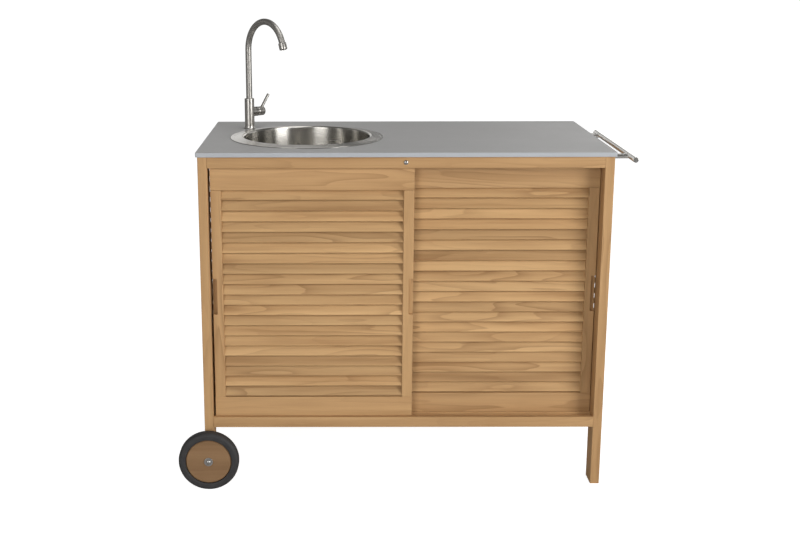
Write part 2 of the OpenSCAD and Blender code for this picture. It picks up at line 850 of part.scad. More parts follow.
// Middles of a door's two glides
function glide_x(door_x) = [door_x + glide_inset, door_x + door_w - glide_inset];

// A door's full-width rail from z0 to z1, with mortises for the stiles in its face at z = face
module door_rail(door_x, door_y, z0, z1, face) {
    fit = 2 * joint_clear;
    mortise = [stile_w - 2 * tenon_shoulder + fit, tenon_t + fit, 2 * tenon_len + fit];
    difference() {
        timber_x([door_x, door_y, z0], [door_x + door_w, door_y + door_t, z1]);
        for (x = [door_x + stile_w / 2, door_x + door_w - stile_w / 2])
            translate([x, door_y + door_t / 2, face]) cube(mortise, center = true);
    }
}

module door_top_rail(door_x, door_y) {
    door_rail(door_x, door_y, louvre_top, door_top, louvre_top);
}

module door_bottom_rail(door_x, door_y) {
    fit = [2 * joint_clear, 2 * joint_clear, 0];
    difference() {
        door_rail(door_x, door_y, door_z, louvre_z, louvre_z);
        for (x = glide_x(door_x))
            translate([x, door_y + door_t / 2, door_z])
                cube([glide_len, glide_w, 2 * glide_let_in] + fit, center = true);
    }
}

module door_slats(door_x, door_y) {
    let_in = stile_w - housing_depth + joint_clear;
    slats_x(door_x + let_in, door_x + door_w - let_in, door_y + door_t / 2, louvre_z, louvre_top, 1);
}

// Glides let into the door's underside, with chamfered ends that ride over grit
module door_glides(door_x, door_y) {
    foot = sill_floor + glide_clear;
    top = door_z + glide_let_in;
    half = glide_len / 2;
    chamfer = 2;
    for (x = glide_x(door_x))
        translate([x, door_y + door_t / 2 + glide_w / 2, 0])
            rotate([90, 0, 0])
                linear_extrude(glide_w)
                    polygon([
                        [-half, top], [-half, foot + chamfer], [chamfer - half, foot],
                        [half - chamfer, foot], [half, foot + chamfer], [half, top]]);
}

module left_door_left_stile() {
    color(TEAK) stile(left_door_x, left_door_y, -1);
}

module left_door_right_stile() {
    color(TEAK) stile(left_door_x, left_door_y, 1);
}

module left_door_top_rail() {
    color(TEAK) door_top_rail(left_door_x, left_door_y);
}

module left_door_bottom_rail() {
    color(TEAK) door_bottom_rail(left_door_x, left_door_y);
}

module left_door_slats() {
    color(TEAK_LIGHT) door_slats(left_door_x, left_door_y);
}

module left_door_glides() {
    color(NYLON) door_glides(left_door_x, left_door_y);
}

module right_door_left_stile() {
    color(TEAK) stile(right_door_x, right_door_y, -1);
}

module right_door_right_stile() {
    color(TEAK) stile(right_door_x, right_door_y, 1);
}

module right_door_top_rail() {
    color(TEAK) door_top_rail(right_door_x, right_door_y);
}

module right_door_bottom_rail() {
    color(TEAK) door_bottom_rail(right_door_x, right_door_y);
}

module right_door_slats() {
    color(TEAK_LIGHT) door_slats(right_door_x, right_door_y);
}

module right_door_glides() {
    color(NYLON) door_glides(right_door_x, right_door_y);
}

// Sink

// Section of the sink's wet side, or of its underside when t is the steel's thickness:
// floor, rounded corner, wall, lip, sloping rim and flat outer edge
function bowl_section(t) =
    let (r = bowl_d / 2 + t, q = bowl_lip_r - t, lip_mid = bowl_d / 2 + bowl_lip_r)
    concat(
        [[waste_hole_d / 2, bowl_floor - t]],
        arc([bowl_d / 2 - bowl_corner_r, bowl_floor + bowl_corner_r], bowl_corner_r + t, -90, 0),
        arc([lip_mid, crown_z + sink_wall - bowl_lip_r], q, 180, 90),
        [[rim_d / 2 - rim_land, rim_z + sink_wall - t], [rim_d / 2, rim_z + sink_wall - t]]);

function reversed(points) = [for (i = [len(points) - 1:-1:0]) points[i]];

module sink_bowl() {
    color(STEEL)
        translate([sink_x, sink_y, 0])
            rotate_extrude()
                polygon(concat(bowl_section(sink_wall), reversed(bowl_section(0))));
}

module sink_seal() {
    color(RUBBER)
        translate([sink_x, sink_y, top_h])
            difference() {
                cylinder(r = rim_d / 2 - 1, h = seal_t);
                translate([0, 0, -cut]) cylinder(r = rim_d / 2 - rim_land + 0.5, h = seal_t + 2 * cut);
            }
}

// Clips: a leg along the bowl's wall and a foot under the worktop
module sink_clips() {
    leg_r = bowl_d / 2 + sink_wall;
    color(STEEL)
        for (i = [0:clip_n - 1])
            translate([sink_x, sink_y, frame_top])
                rotate([0, 0, clip_turn + 360 * i / clip_n])
                    difference() {
                        translate([0, -clip_w / 2, -clip_leg])
                            cube([cutout_d / 2 + clip_reach, clip_w, clip_leg]);
                        translate([leg_r + clip_t, -clip_w, -clip_leg - clip_t])
                            cube([cutout_d, 2 * clip_w, clip_leg]);
                        translate([0, 0, -2 * clip_leg]) cylinder(r = leg_r, h = 4 * clip_leg, $fn = 360);
                    }
}

// Waste

module waste_body() {
    neck_bore = tail_d / 2 - 2 * waste_t;
    flange_r = waste_flange_d / 2;
    flange_top = flange_z + waste_t;
    bevel = 3;
    color(STEEL)
        translate([sink_x, sink_y, 0])
            rotate_extrude()
                polygon([
                    [neck_bore, neck_end], [neck_d / 2, neck_end], [neck_d / 2, cup_floor - waste_t],
                    [cup_r, cup_floor - waste_t], [cup_r, flange_z], [flange_r, flange_z],
                    [flange_r, flange_z + waste_t / 2], [flange_r - bevel, flange_top],
                    [cup_r - waste_t, flange_top], [cup_r - waste_t, cup_floor], [neck_bore, cup_floor]]);
}

// One rubber ring lies between the flange and the bowl, and one between the bowl and the ring nut
module waste_seals() {
    color(RUBBER)
        for (z = [bowl_floor, bowl_floor - sink_wall - waste_seal_t])
            translate([sink_x, sink_y, z])
                difference() {
                    cylinder(r = waste_flange_d / 2 - 3, h = waste_seal_t);
                    translate([0, 0, -cut]) cylinder(r = waste_hole_d / 2, h = waste_seal_t + 2 * cut);
                }
}

module waste_ring_nut() {
    color(NYLON)
        translate([sink_x, sink_y, ring_nut_top - ring_nut_h])
            difference() {
                cylinder(r = cup_r + ring_nut_rim, h = ring_nut_h);
                translate([0, 0, -cut]) cylinder(r = cup_r + bolt_clear, h = ring_nut_h + 2 * cut);
                for (i = [0:7])
                    rotate([0, 0, 45 * i])
                        translate([cup_r + ring_nut_rim, 0, -cut]) cylinder(r = 4, h = ring_nut_h + 2 * cut);
            }
}

// Tail: a six-sided nut on the waste's neck, and the pipe that a drain hose or trap goes on
module waste_tail() {
    bore = tail_d / 2 - waste_t;
    color(NYLON)
        translate([sink_x, sink_y, 0])
            difference() {
                union() {
                    translate([0, 0, tail_nut_z]) cylinder(d = tail_nut_d, h = tail_nut_h, $fn = 6);
                    translate([0, 0, tail_end]) cylinder(d = tail_d, h = neck_end - tail_end);
                }
                translate([0, 0, neck_end]) cylinder(r = neck_d / 2 + bolt_clear, h = 2 * neck_len);
                translate([0, 0, tail_end - cut]) cylinder(r = bore, h = tail_len + 2 * cut);
            }
}

// Strainer basket: it stands on the cup's floor and lifts out by its knob
module strainer_basket() {
    r = basket_d / 2;
    z = cup_floor + seat_gap;
    rim = z + basket_h;
    corner = 4;
    stem_r = 3;
    knob_r = basket_knob_d / 2;
    knob_z = rim + 8;
    knob_h = 5;
    color(STEEL)
        translate([sink_x, sink_y, 0])
            difference() {
                rotate_extrude()
                    polygon([
                        [0, z], [r - corner, z], [r, z + corner], [r, rim], [r + basket_t, rim],
                        [r + basket_t, rim + basket_t], [r - basket_t, rim + basket_t],
                        [r - basket_t, z + corner + ease], [r - corner - ease, z + basket_t],
                        [stem_r, z + basket_t], [stem_r, knob_z], [knob_r - 2 * ease, knob_z],
                        [knob_r, knob_z + 2 * ease], [knob_r, knob_z + knob_h - 2 * ease],
                        [knob_r - 2 * ease, knob_z + knob_h], [0, knob_z + knob_h]]);
                for (i = [0:basket_hole_n - 1])
                    rotate([0, 0, 360 * i / basket_hole_n])
                        translate([0.72 * r, 0, z - cut]) cylinder(d = basket_hole_d, h = basket_t + 2 * cut);
                for (i = [0:basket_hole_n / 2 - 1])
                    rotate([0, 0, 720 * i / basket_hole_n])
                        translate([0.4 * r, 0, z - cut]) cylinder(d = basket_hole_d, h = basket_t + 2 * cut);
            }
}

// Tap

// Frame at the tap's foot on the worktop
module at_tap() {
    translate([tap_x, tap_y, top_h]) children();
}

// Frame at the middle of the lever's ball, with +X along the housing, away from the tap
module at_ball() {
    at_tap() translate([0, 0, lever_h]) rotate([0, 0, lever_turn]) translate([ball_reach, 0, 0]) children();
}

// Body: flared foot, shell, collar with the ball's seat, chamber, spout socket and water channels
module tap_body() {
    shell_r = tap_body_d / 2;
    color(STEEL)
        difference() {
            union() {
                at_tap()
                    rotate_extrude()
                        polygon(concat(
                            [[0, 0], [tap_foot_d / 2, 0], [tap_foot_d / 2, foot_edge]],
                            [for (a = [15:15:90]) [shell_r + (tap_foot_d / 2 - shell_r) * (1 - sin(a)),
                                foot_edge + (tap_foot_h - foot_edge) * (1 - cos(a))]],
                            [[shell_r, tap_body_h - 2 * ease], [shell_r - 2 * ease, tap_body_h],
                                [0, tap_body_h]]));
                at_ball() rod_x([-ball_reach, 0, 0], collar_d / 2, ball_reach + collar_end);
            }
            at_ball() {
                sphere(r = seat_r);
                rod_x([chamber_back - ball_reach, 0, 0], chamber_r,
                    ball_reach - chamber_back + chamber_front);
            }
            at_tap() {
                translate([0, 0, tap_body_h - spout_socket])
                    cylinder(r = spout_d / 2 + run_clear, h = spout_socket + cut);
                translate([0, 0, nest]) cylinder(r = channel_r, h = tap_body_h - nest);
                translate([0, 0, -cut]) cylinder(r = shank_neck_r + bolt_clear, h = nest + cut);
            }
        }
}

// Shank: screwed into the body, with two threaded inlets in its lower end
module tap_shank() {
    color(STEEL)
        at_tap()
            difference() {
                union() {
                    translate([0, 0, -top_t - shank_len]) cylinder(d = shank_d, h = top_t + shank_len);
                    cylinder(r = shank_neck_r, h = nest - seat_gap);
                }
                for (s = [-1, 1])
                    translate([s * inlet_gap / 2, 0, -top_t - shank_len - cut])
                        cylinder(d = inlet_d, h = inlet_len + cut);
                translate([0, 0, -top_t - shank_len + inlet_len - channel_lap])
                    cylinder(r = channel_r, h = top_t + shank_len);
            }
}

// Back nut and its round backing plate, which clamp the tap from under the worktop
module tap_back_nut() {
    plate_t = 3;
    nut_t = 9;
    color(STEEL)
        at_tap()
            translate([0, 0, -top_t - plate_t])
                difference() {
                    union() {
                        cylinder(r = shank_d / 2 + 9, h = plate_t);
                        translate([0, 0, -nut_t]) cylinder(r = shank_d / 2 + 7, h = nut_t, $fn = 6);
                    }
                    translate([0, 0, -nut_t - cut])
                        cylinder(r = shank_d / 2 + bolt_clear, h = nut_t + plate_t + 2 * cut);
                }
}

// Section of the spout's tube
module spout_ring() {
    difference() {
        circle(d = spout_d);
        circle(r = spout_d / 2 - spout_wall);
    }
}

// Frame at the end of the spout's bend, with +Z along the flow
module at_spout_end() {
    translate([spout_r * (1 - cos(spout_bend)), 0, spout_rise + spout_r * sin(spout_bend)])
        rotate([0, spout_bend, 0]) children();
}

module tap_spout() {
    color(STEEL)
        at_tap()
            rotate([0, 0, spout_turn]) {
                translate([0, 0, spout_foot]) linear_extrude(spout_rise - spout_foot) spout_ring();
                translate([spout_r, 0, spout_rise])
                    rotate([90, 0, 180])
                        rotate_extrude(angle = spout_bend)
                            translate([spout_r, 0]) spout_ring();
            }
}

// Aerator: it screws into the spout's end by a short spigot
module tap_aerator() {
    r = aerator_d / 2;
    chamfer = 3 * ease;
    spigot = spout_d / 2 - spout_wall - seat_gap;
    mouth = spigot - 2 * ease;
    color(STEEL)
        at_tap()
            rotate([0, 0, spout_turn])
                at_spout_end()
                    rotate_extrude()
                        polygon([
                            [mouth, -spigot_len], [spigot, -spigot_len], [spigot, 0], [r - chamfer, 0],
                            [r, chamfer], [r, aerator_len - chamfer], [r - chamfer, aerator_len],
                            [mouth, aerator_len]]);
}

module tap_cartridge() {
    color(NYLON)
        at_ball()
            difference() {
                union() {
                    rod_x([chamber_back - ball_reach, 0, 0], chamber_r - run_clear,
                        ball_reach - chamber_back - seat_r);
                    rod_x([-seat_r - ease, 0, 0], spindle_guide_r, guide_len);
                }
                rod_x([-ball_reach, 0, 0], spindle_d / 2 + run_clear, ball_reach);
            }
}

// Spindle: it turns in the cartridge, and its eye carries the cross pin
module tap_spindle() {
    color(STEEL)
        at_ball()
            difference() {
                union() {
                    rod_x([-ball_reach + seat_gap, 0, 0], spindle_d / 2, ball_reach - seat_gap);
                    sphere(d = eye_d);
                }
                rod_y([0, -eye_d, 0], cross_pin_d / 2 + run_clear, 2 * eye_d);
            }
}

module tap_cross_pin() {
    reach = ball_r - cap_wall / 2;
    color(STEEL) at_ball() rod_y([0, -reach, 0], cross_pin_d / 2, 2 * reach);
}

// Cap: a ball-shaped skirt inside the collar, a barrel and a rounded end
module tap_lever_cap() {
    inner = ball_r - cap_wall;
    rim_a = asin(cap_rim / ball_r);
    inner_a = asin(cap_rim / inner);
    room = cap_len - lever_front;
    pin_hole = ball_r - cap_wall / 2 + joint_clear;
    color(STEEL)
        at_ball()
            difference() {
                rotate([0, 90, 0])
                    rotate_extrude()
                        polygon(concat(
                            arc([0, 0], ball_r, rim_a, 0, 12),
                            arc([ball_r - cap_end_r, cap_len - cap_end_r], cap_end_r, 0, 90),
                            [[0, cap_len], [0, room], [inner - 2, room], [inner, room - 2]],
                            arc([0, 0], inner, 0, inner_a, 12)));
                rod_y([0, -pin_hole, 0], cross_pin_d / 2 + run_clear, 2 * pin_hole);
                at_pin()
                    translate([0, 0, -joint_clear]) cylinder(r = pin_d / 2 + run_clear, h = ball_r);
            }
}

// Frame of the lever's pin inside the ball's frame: +Z runs out of the cap
module at_pin() {
    translate([pin_out, 0, 0])
        rotate([0, pin_lean, 0])
            translate([0, 0, pin_root]) children();
}

module tap_lever_pin() {
    r = pin_d / 2;
    tip_r = 3 * ease;
    color(STEEL)
        at_ball()
            at_pin()
                rotate_extrude()
                    polygon(concat(
                        [[0, 0], [r, 0]], arc([r - tip_r, pin_len - tip_r], tip_r, 0, 90, 4),
                        [[0, pin_len]]));
}

// Wheels

// Frame of a wheel: +Z runs outwards from the post's face along the axle; sy is -1 or 1
module at_wheel(sy) {
    translate([axle_x, sy * y_back, axle_z]) rotate([-sy * 90, 0, 0]) children();
}

module tyre() {
    r = disc_d / 2;
    out = wheel_d / 2;
    w = tyre_w / 2;
    wall = r + (out - r) / 3;
    translate([0, 0, wheel_mid])
        rotate_extrude()
            polygon(concat(
                [[r - key_h, -key_w], [r, -key_w], [r, disc_chamfer - w],
                    [r + disc_chamfer, ease - w], [wall, -w]],
                arc([out - tyre_shoulder, tyre_shoulder - w], tyre_shoulder, -90, 0),
                arc([out - tyre_shoulder, w - tyre_shoulder], tyre_shoulder, 0, 90),
                [[wall, w], [r + disc_chamfer, w - ease], [r, w - disc_chamfer],
                    [r, key_w], [r - key_h, key_w]]));
}

module disc() {
    r = disc_d / 2 - bolt_clear;
    h = disc_t / 2;
    hole = bush_d / 2 + bolt_clear;
    slot = key_w + bolt_clear;
    translate([0, 0, wheel_mid])
        rotate_extrude()
            polygon([
                [hole, -h], [r - disc_chamfer, -h], [r, disc_chamfer - h], [r, -slot], [r - key_h, -slot],
                [r - key_h, slot], [r, slot], [r, h - disc_chamfer], [r - disc_chamfer, h], [hole, h]]);
}

// Bush: a sleeve through the disc, and a collar that keeps the wheel off the post
module bush() {
    bore = shoulder_d / 2 + run_clear;
    disc_in = wheel_mid - disc_t / 2;
    rotate_extrude()
        polygon([
            [bore, bush_in], [washer_d / 2, bush_in], [washer_d / 2, disc_in], [bush_d / 2, disc_in],
            [bush_d / 2, bush_out], [bore, bush_out]]);
}

module front_tyre() {
    color(RUBBER) at_wheel(-1) tyre();
}

module front_disc() {
    color(TEAK_DARK) at_wheel(-1) disc();
}

module front_bush() {
    color(NYLON) at_wheel(-1) bush();
}

module rear_tyre() {
    color(RUBBER) at_wheel(1) tyre();
}

module rear_disc() {
    color(TEAK_DARK) at_wheel(1) disc();
}

module rear_bush() {
    color(NYLON) at_wheel(1) bush();
}

// Axle bolt: domed head, shoulder for the bush, and a thread through the post
module axle_bolts() {
    tip = post_d + washer_t + axle_nut_h + 4 * ease;
    thread_r = axle_thread_d / 2;
    shoulder_r = shoulder_d / 2;
    color(STEEL)
        for (s = [-1, 1])
            at_wheel(s)
                rotate_extrude()
                    polygon(concat(
                        [[0, -tip], [thread_r - ease, -tip], [thread_r, ease - tip],
                            [thread_r, washer_t], [shoulder_r, washer_t], [shoulder_r, head_seat]],
                        dome(axle_head_d / 2, axle_head_h, head_seat)));
}

module axle_washers() {
    color(STEEL)
        for (s = [-1, 1], p = [
            [0, axle_thread_d], [head_seat - washer_t, shoulder_d], [-post_d - washer_t, axle_thread_d]])
            at_wheel(s)
                translate([0, 0, p[0]])
                    difference() {
                        cylinder(d = washer_d, h = washer_t);
                        translate([0, 0, -cut]) cylinder(r = p[1] / 2 + bolt_clear, h = washer_t + 2 * cut);
                    }
}

module axle_nuts() {
    color(STEEL)
        for (s = [-1, 1])
            at_wheel(s)
                translate([0, 0, -post_d - washer_t - axle_nut_h])
                    difference() {
                        cylinder(r = axle_nut_af / sqrt(3), h = axle_nut_h, $fn = 6);
                        translate([0, 0, -cut])
                            cylinder(r = axle_thread_d / 2 + bolt_clear, h = axle_nut_h + 2 * cut);
                    }
}

// Push bar

// Bar with chamfered ends and a fine turned groove near each end
module push_bar() {
    r = bar_d / 2;
    half = bar_len / 2;
    groove = half - bar_groove;
    color(STEEL)
        translate([x_out + bar_reach, 0, bar_z])
            rotate([90, 0, 0])
                rotate_extrude()
                    polygon([
                        [0, -half], [r - 2 * ease, -half], [r, 2 * ease - half], [r, -groove - ease],
                        [r - ease, -groove], [r, ease - groove], [r, groove - ease], [r - ease, groove],
                        [r, groove + ease], [r, half - 2 * ease], [r - 2 * ease, half], [0, half]]);
}

module bar_standoffs() {
    color(STEEL)
        for (s = [-1, 1])
            difference() {
                rod_x([x_out, s * standoff_gap / 2, bar_z], standoff_d / 2, bar_reach);
                rod_y([x_out + bar_reach, s * standoff_gap / 2 - bar_d, bar_z], bar_d / 2, 2 * bar_d);
                rod_x([x_out - cut, s * standoff_gap / 2, bar_z], bolt_d / 2 + bolt_clear / 2,
                    bar_bolt_len - stock_t + 2 + cut);
            }
}

worktop();
post_front_left();
post_front_right();
post_rear_left();
post_rear_right();
head_rail();
sill_rail();
rear_top_rail();
rear_bottom_rail();
side_rails();
left_side_slats();
right_side_slats();
back_mullion();
back_slats();
centre_bearer();
floor_bearers();
floor_boards();
frame_bolts();
cross_nuts();
left_door_left_stile();
left_door_right_stile();
left_door_top_rail();
left_door_bottom_rail();
left_door_slats();
left_door_glides();
right_door_left_stile();
right_door_right_stile();
right_door_top_rail();
right_door_bottom_rail();
right_door_slats();
right_door_glides();
sink_bowl();
sink_seal();
sink_clips();
waste_body();
waste_seals();
waste_ring_nut();
waste_tail();
strainer_basket();
tap_body();
tap_shank();
tap_back_nut();
tap_spout();
tap_aerator();
tap_cartridge();
tap_spindle();
tap_cross_pin();
tap_lever_cap();
tap_lever_pin();
front_tyre();
front_disc();
front_bush();
rear_tyre();
rear_disc();
rear_bush();
axle_bolts();
axle_washers();
axle_nuts();
push_bar();
bar_standoffs();
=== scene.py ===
"""Looks of the outdoor kitchen unit: a teak cabinet with louvred sliding doors, a stone-grey
worktop with a round steel sink and tap, a push bar, and one pair of wheels.

The sub-assemblies' sizes are in millimetres and degrees, and the studio's places are in metres.
"""
import json
import logging
import math
from dataclasses import dataclass, field
from enum import Enum
from typing import Iterable, Sequence

import bmesh
import bpy
from mathutils import Matrix, Vector

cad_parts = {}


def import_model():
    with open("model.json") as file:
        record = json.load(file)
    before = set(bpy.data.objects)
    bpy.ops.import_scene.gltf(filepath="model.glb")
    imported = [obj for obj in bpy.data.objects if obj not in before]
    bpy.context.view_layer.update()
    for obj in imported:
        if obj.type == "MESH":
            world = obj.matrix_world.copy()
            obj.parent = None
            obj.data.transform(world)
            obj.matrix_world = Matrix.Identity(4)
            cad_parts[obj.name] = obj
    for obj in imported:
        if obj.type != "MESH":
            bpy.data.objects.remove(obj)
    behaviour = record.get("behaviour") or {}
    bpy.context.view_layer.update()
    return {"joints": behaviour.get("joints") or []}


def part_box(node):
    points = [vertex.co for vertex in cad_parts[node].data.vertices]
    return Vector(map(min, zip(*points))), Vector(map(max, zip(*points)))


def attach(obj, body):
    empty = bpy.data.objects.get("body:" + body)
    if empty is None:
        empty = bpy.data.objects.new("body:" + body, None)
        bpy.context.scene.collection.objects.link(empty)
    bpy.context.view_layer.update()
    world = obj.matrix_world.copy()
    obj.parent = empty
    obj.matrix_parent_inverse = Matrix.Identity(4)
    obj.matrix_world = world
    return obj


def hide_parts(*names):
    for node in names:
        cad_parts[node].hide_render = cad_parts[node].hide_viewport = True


Point = tuple[float, float]
Place = tuple[float, float, float]
Colour = tuple[int, int, int]
Tint = tuple[float, float, float, float]
Profile = Sequence[Point]
Socket = bpy.types.NodeSocket

LOG = logging.getLogger("scene")
MM = 0.001
MERGED = 1e-6  # points nearer than this, in metres, are one
FLAT = math.radians(0.3)  # faces that turn by less than this are one
SQUARE = math.radians(60)  # edges that turn by more than this are square
USUAL = (0.3, 0.7)  # the range that most of a noise lies in
QUARTER_TURN = 0.25  # as a share of a full one
WHITE = (1.0, 1.0, 1.0, 1.0)


class Axis(Enum):
    """The axis that a timber's grain follows, with the axes across it."""

    X = ("X", "Y", "Z")
    Y = ("Y", "X", "Z")
    Z = ("Z", "X", "Y")


class Body(Enum):
    """The record's bodies, on one of which every piece rides."""

    CABINET = "cabinet"
    LEFT_DOOR = "left_door"
    RIGHT_DOOR = "right_door"
    FRONT_WHEEL = "front_wheel"
    REAR_WHEEL = "rear_wheel"
    SPOUT = "spout"
    VALVE = "valve"
    LEVER = "lever"
    STRAINER = "strainer"


def linear(red: int, green: int, blue: int) -> Tint:
    """Turns an 8-bit screen colour into the opaque linear colour that shaders take."""
    parts = [c / 255 for c in (red, green, blue)]
    return (*[c / 12.92 if c <= 0.04045 else ((c + 0.055) / 1.055) ** 2.4 for c in parts], 1.0)


def arc(centre: Point, radius: float, start: float, end: float, steps: int) -> list[Point]:
    """Points of an arc in a profile's plane, in equal steps from one angle in degrees to another."""
    angles = [math.radians(start + (end - start) * i / steps) for i in range(steps + 1)]
    return [(centre[0] + radius * math.cos(a), centre[1] + radius * math.sin(a)) for a in angles]


def frame_at(point: Iterable[float], towards: Iterable[float]) -> Matrix:
    """Frame whose origin is a point in metres, and whose Z axis runs along a direction."""
    turn = Vector(towards).normalized().to_track_quat("Z", "Y")
    return Matrix.Translation(Vector(point)) @ turn.to_matrix().to_4x4()


class Wiring:
    """A node tree, with short calls for the nodes that the finishes and the room use."""

    def __init__(self, tree: bpy.types.NodeTree) -> None:
        """Takes the tree that its nodes go into."""
        self.tree = tree

    def node(self, kind: str, **settings: object) -> bpy.types.Node:
        """Adds a node.

        Args:
            kind: The node's type.
            **settings: Properties to set on it.

        Returns:
            The node.
        """
        made = self.tree.nodes.new(kind)
        for key, value in settings.items():
            setattr(made, key, value)
        return made

    def feed(self, socket: Socket, value: object) -> None:
        """Links an output to a socket, or sets the socket's value.

        Args:
            socket: The input socket.
            value: An output socket, number or vector.
        """
        if isinstance(value, Socket):
            self.tree.links.new(value, socket)
        else:
            socket.default_value = value

    def math(self, operation: str, a: object, b: object = 0.0) -> Socket:
        """Does one sum on numbers.

        Args:
            operation: A Math node operation.
            a: First number.
            b: Second number.

        Returns:
            The result.
        """
        made = self.node("ShaderNodeMath", operation=operation)
        self.feed(made.inputs[0], a)
        self.feed(made.inputs[1], b)
        return made.outputs[0]

    def split(self, place: Socket) -> dict[str, Socket]:
        """Splits a vector into its three numbers.

        Args:
            place: The vector.

        Returns:
            The numbers by the name of their axis.
        """
        made = self.node("ShaderNodeSeparateXYZ")
        self.feed(made.inputs[0], place)
        return {axis: made.outputs[axis] for axis in "XYZ"}

    def vector(self, x: object, y: object, z: object) -> Socket:
        """Joins three numbers into a vector.

        Args:
            x: First number.
            y: Second number.
            z: Third number.

        Returns:
            The vector.
        """
        made = self.node("ShaderNodeCombineXYZ")
        for socket, value in zip(made.inputs, (x, y, z)):
            self.feed(socket, value)
        return made.outputs[0]

    def scaled(self, place: object, scale: Sequence[float]) -> Socket:
        """Multiplies a position by one factor per axis.

        Args:
            place: The position.
            scale: The three factors.

        Returns:
            The scaled position.
        """
        made = self.node("ShaderNodeVectorMath", operation="MULTIPLY")
        self.feed(made.inputs[0], place)
        self.feed(made.inputs[1], tuple(scale))
        return made.outputs[0]

    def noise(self, place: object, scale: float, detail: float = 3, rough: float = 0.55) -> Socket:
        """Samples fractal noise.

        Args:
            place: Where to sample.
            scale: Features per metre of place.
            detail: Number of octaves.
            rough: Weight of the finer octaves.

        Returns:
            A number from 0 to 1.
        """
        made = self.node("ShaderNodeTexNoise")
        self.feed(made.inputs["Vector"], place)
        made.inputs["Scale"].default_value = scale
        made.inputs["Detail"].default_value = detail
        made.inputs["Roughness"].default_value = rough
        return made.outputs["Fac"]

    def remap(
        self, value: object, low: float, high: float, to_low: float = 0.0, to_high: float = 1.0,
        smooth: bool = False
    ) -> Socket:
        """Maps a range of values onto another, held at its ends.

        Args:
            value: The number to map.
            low: Start of the range.
            high: End of the range.
            to_low: Result at the start.
            to_high: Result at the end.
            smooth: Whether it eases in and out at the ends.

        Returns:
            The mapped number.
        """
        made = self.node("ShaderNodeMapRange", interpolation_type="SMOOTHSTEP" if smooth else "LINEAR")
        self.feed(made.inputs["Value"], value)
        for name, number in zip(("From Min", "From Max", "To Min", "To Max"), (low, high, to_low, to_high)):
            made.inputs[name].default_value = number
        return made.outputs["Result"]

    def blend(self, share: object, a: object, b: object, mode: str = "MIX") -> Socket:
        """Mixes two colours.

        Args:
            share: Weight of the second colour.
            a: First colour.
            b: Second colour.
            mode: How they mix.

        Returns:
            The mixed colour.
        """
        made = self.node("ShaderNodeMix", data_type="RGBA", blend_type=mode)
        self.feed(made.inputs["Factor"], share)
        self.feed(made.inputs["A"], a)
        self.feed(made.inputs["B"], b)
        return made.outputs["Result"]

    def toned(self, colour: object, tone: Socket) -> Socket:
        """Multiplies a colour by a grey tone of about 1."""
        return self.blend(1.0, colour, self.vector(tone, tone, tone), "MULTIPLY")


class Graph(Wiring):
    """The node tree of one material, about its Principled shader."""

    def __init__(self, name: str) -> None:
        """Makes the material with an empty Principled shader.

        Args:
            name: The material's name.
        """
        self.material = bpy.data.materials.new(name)
        self.material.use_nodes = True
        super().__init__(self.material.node_tree)
        self.shader = self.tree.nodes["Principled BSDF"]
        self.place = self.node("ShaderNodeTexCoord").outputs["Object"]

    def bump(self, height: object, depth: float, strength: float) -> None:
        """Gives the shader a bump.

        Args:
            height: Height from 0 to 1.
            depth: Depth of the bump in metres.
            strength: How strongly it shows.
        """
        made = self.node("ShaderNodeBump")
        made.inputs["Strength"].default_value = strength
        made.inputs["Distance"].default_value = depth
        self.feed(made.inputs["Height"], height)
        self.tree.links.new(made.outputs["Normal"], self.shader.inputs["Normal"])

    def surface(self, colour: object, rough: object, metal: float = 0.0, specular: float = 0.5) -> None:
        """Sets the shader's main inputs.

        Args:
            colour: Base colour.
            rough: Roughness.
            metal: Metallic share.
            specular: Specular level.
        """
        self.feed(self.shader.inputs["Base Color"], colour)
        self.feed(self.shader.inputs["Roughness"], rough)
        self.shader.inputs["Metallic"].default_value = metal
        self.shader.inputs["Specular IOR Level"].default_value = specular


@dataclass(frozen=True)
class Finish:
    """A procedural finish. Each subclass paints its own shader graph.

    Noise scales below are features per metre, and tones are shares of the base colour. A band is the
    range of a noise over which something comes in, and a share is how much of it shows.
    """

    name: str
    slot: str

    def material(self) -> bpy.types.Material:
        """Looks up the finish's material, and makes it the first time.

        Returns:
            The material.
        """
        name = f"{self.name}_finish"
        found = bpy.data.materials.get(name)
        if found:
            return found
        graph = Graph(name)
        self.paint(graph)
        return graph.material

    def paint(self, graph: Graph) -> None:
        """Fills the shader graph of the finish's material."""
        raise NotImplementedError


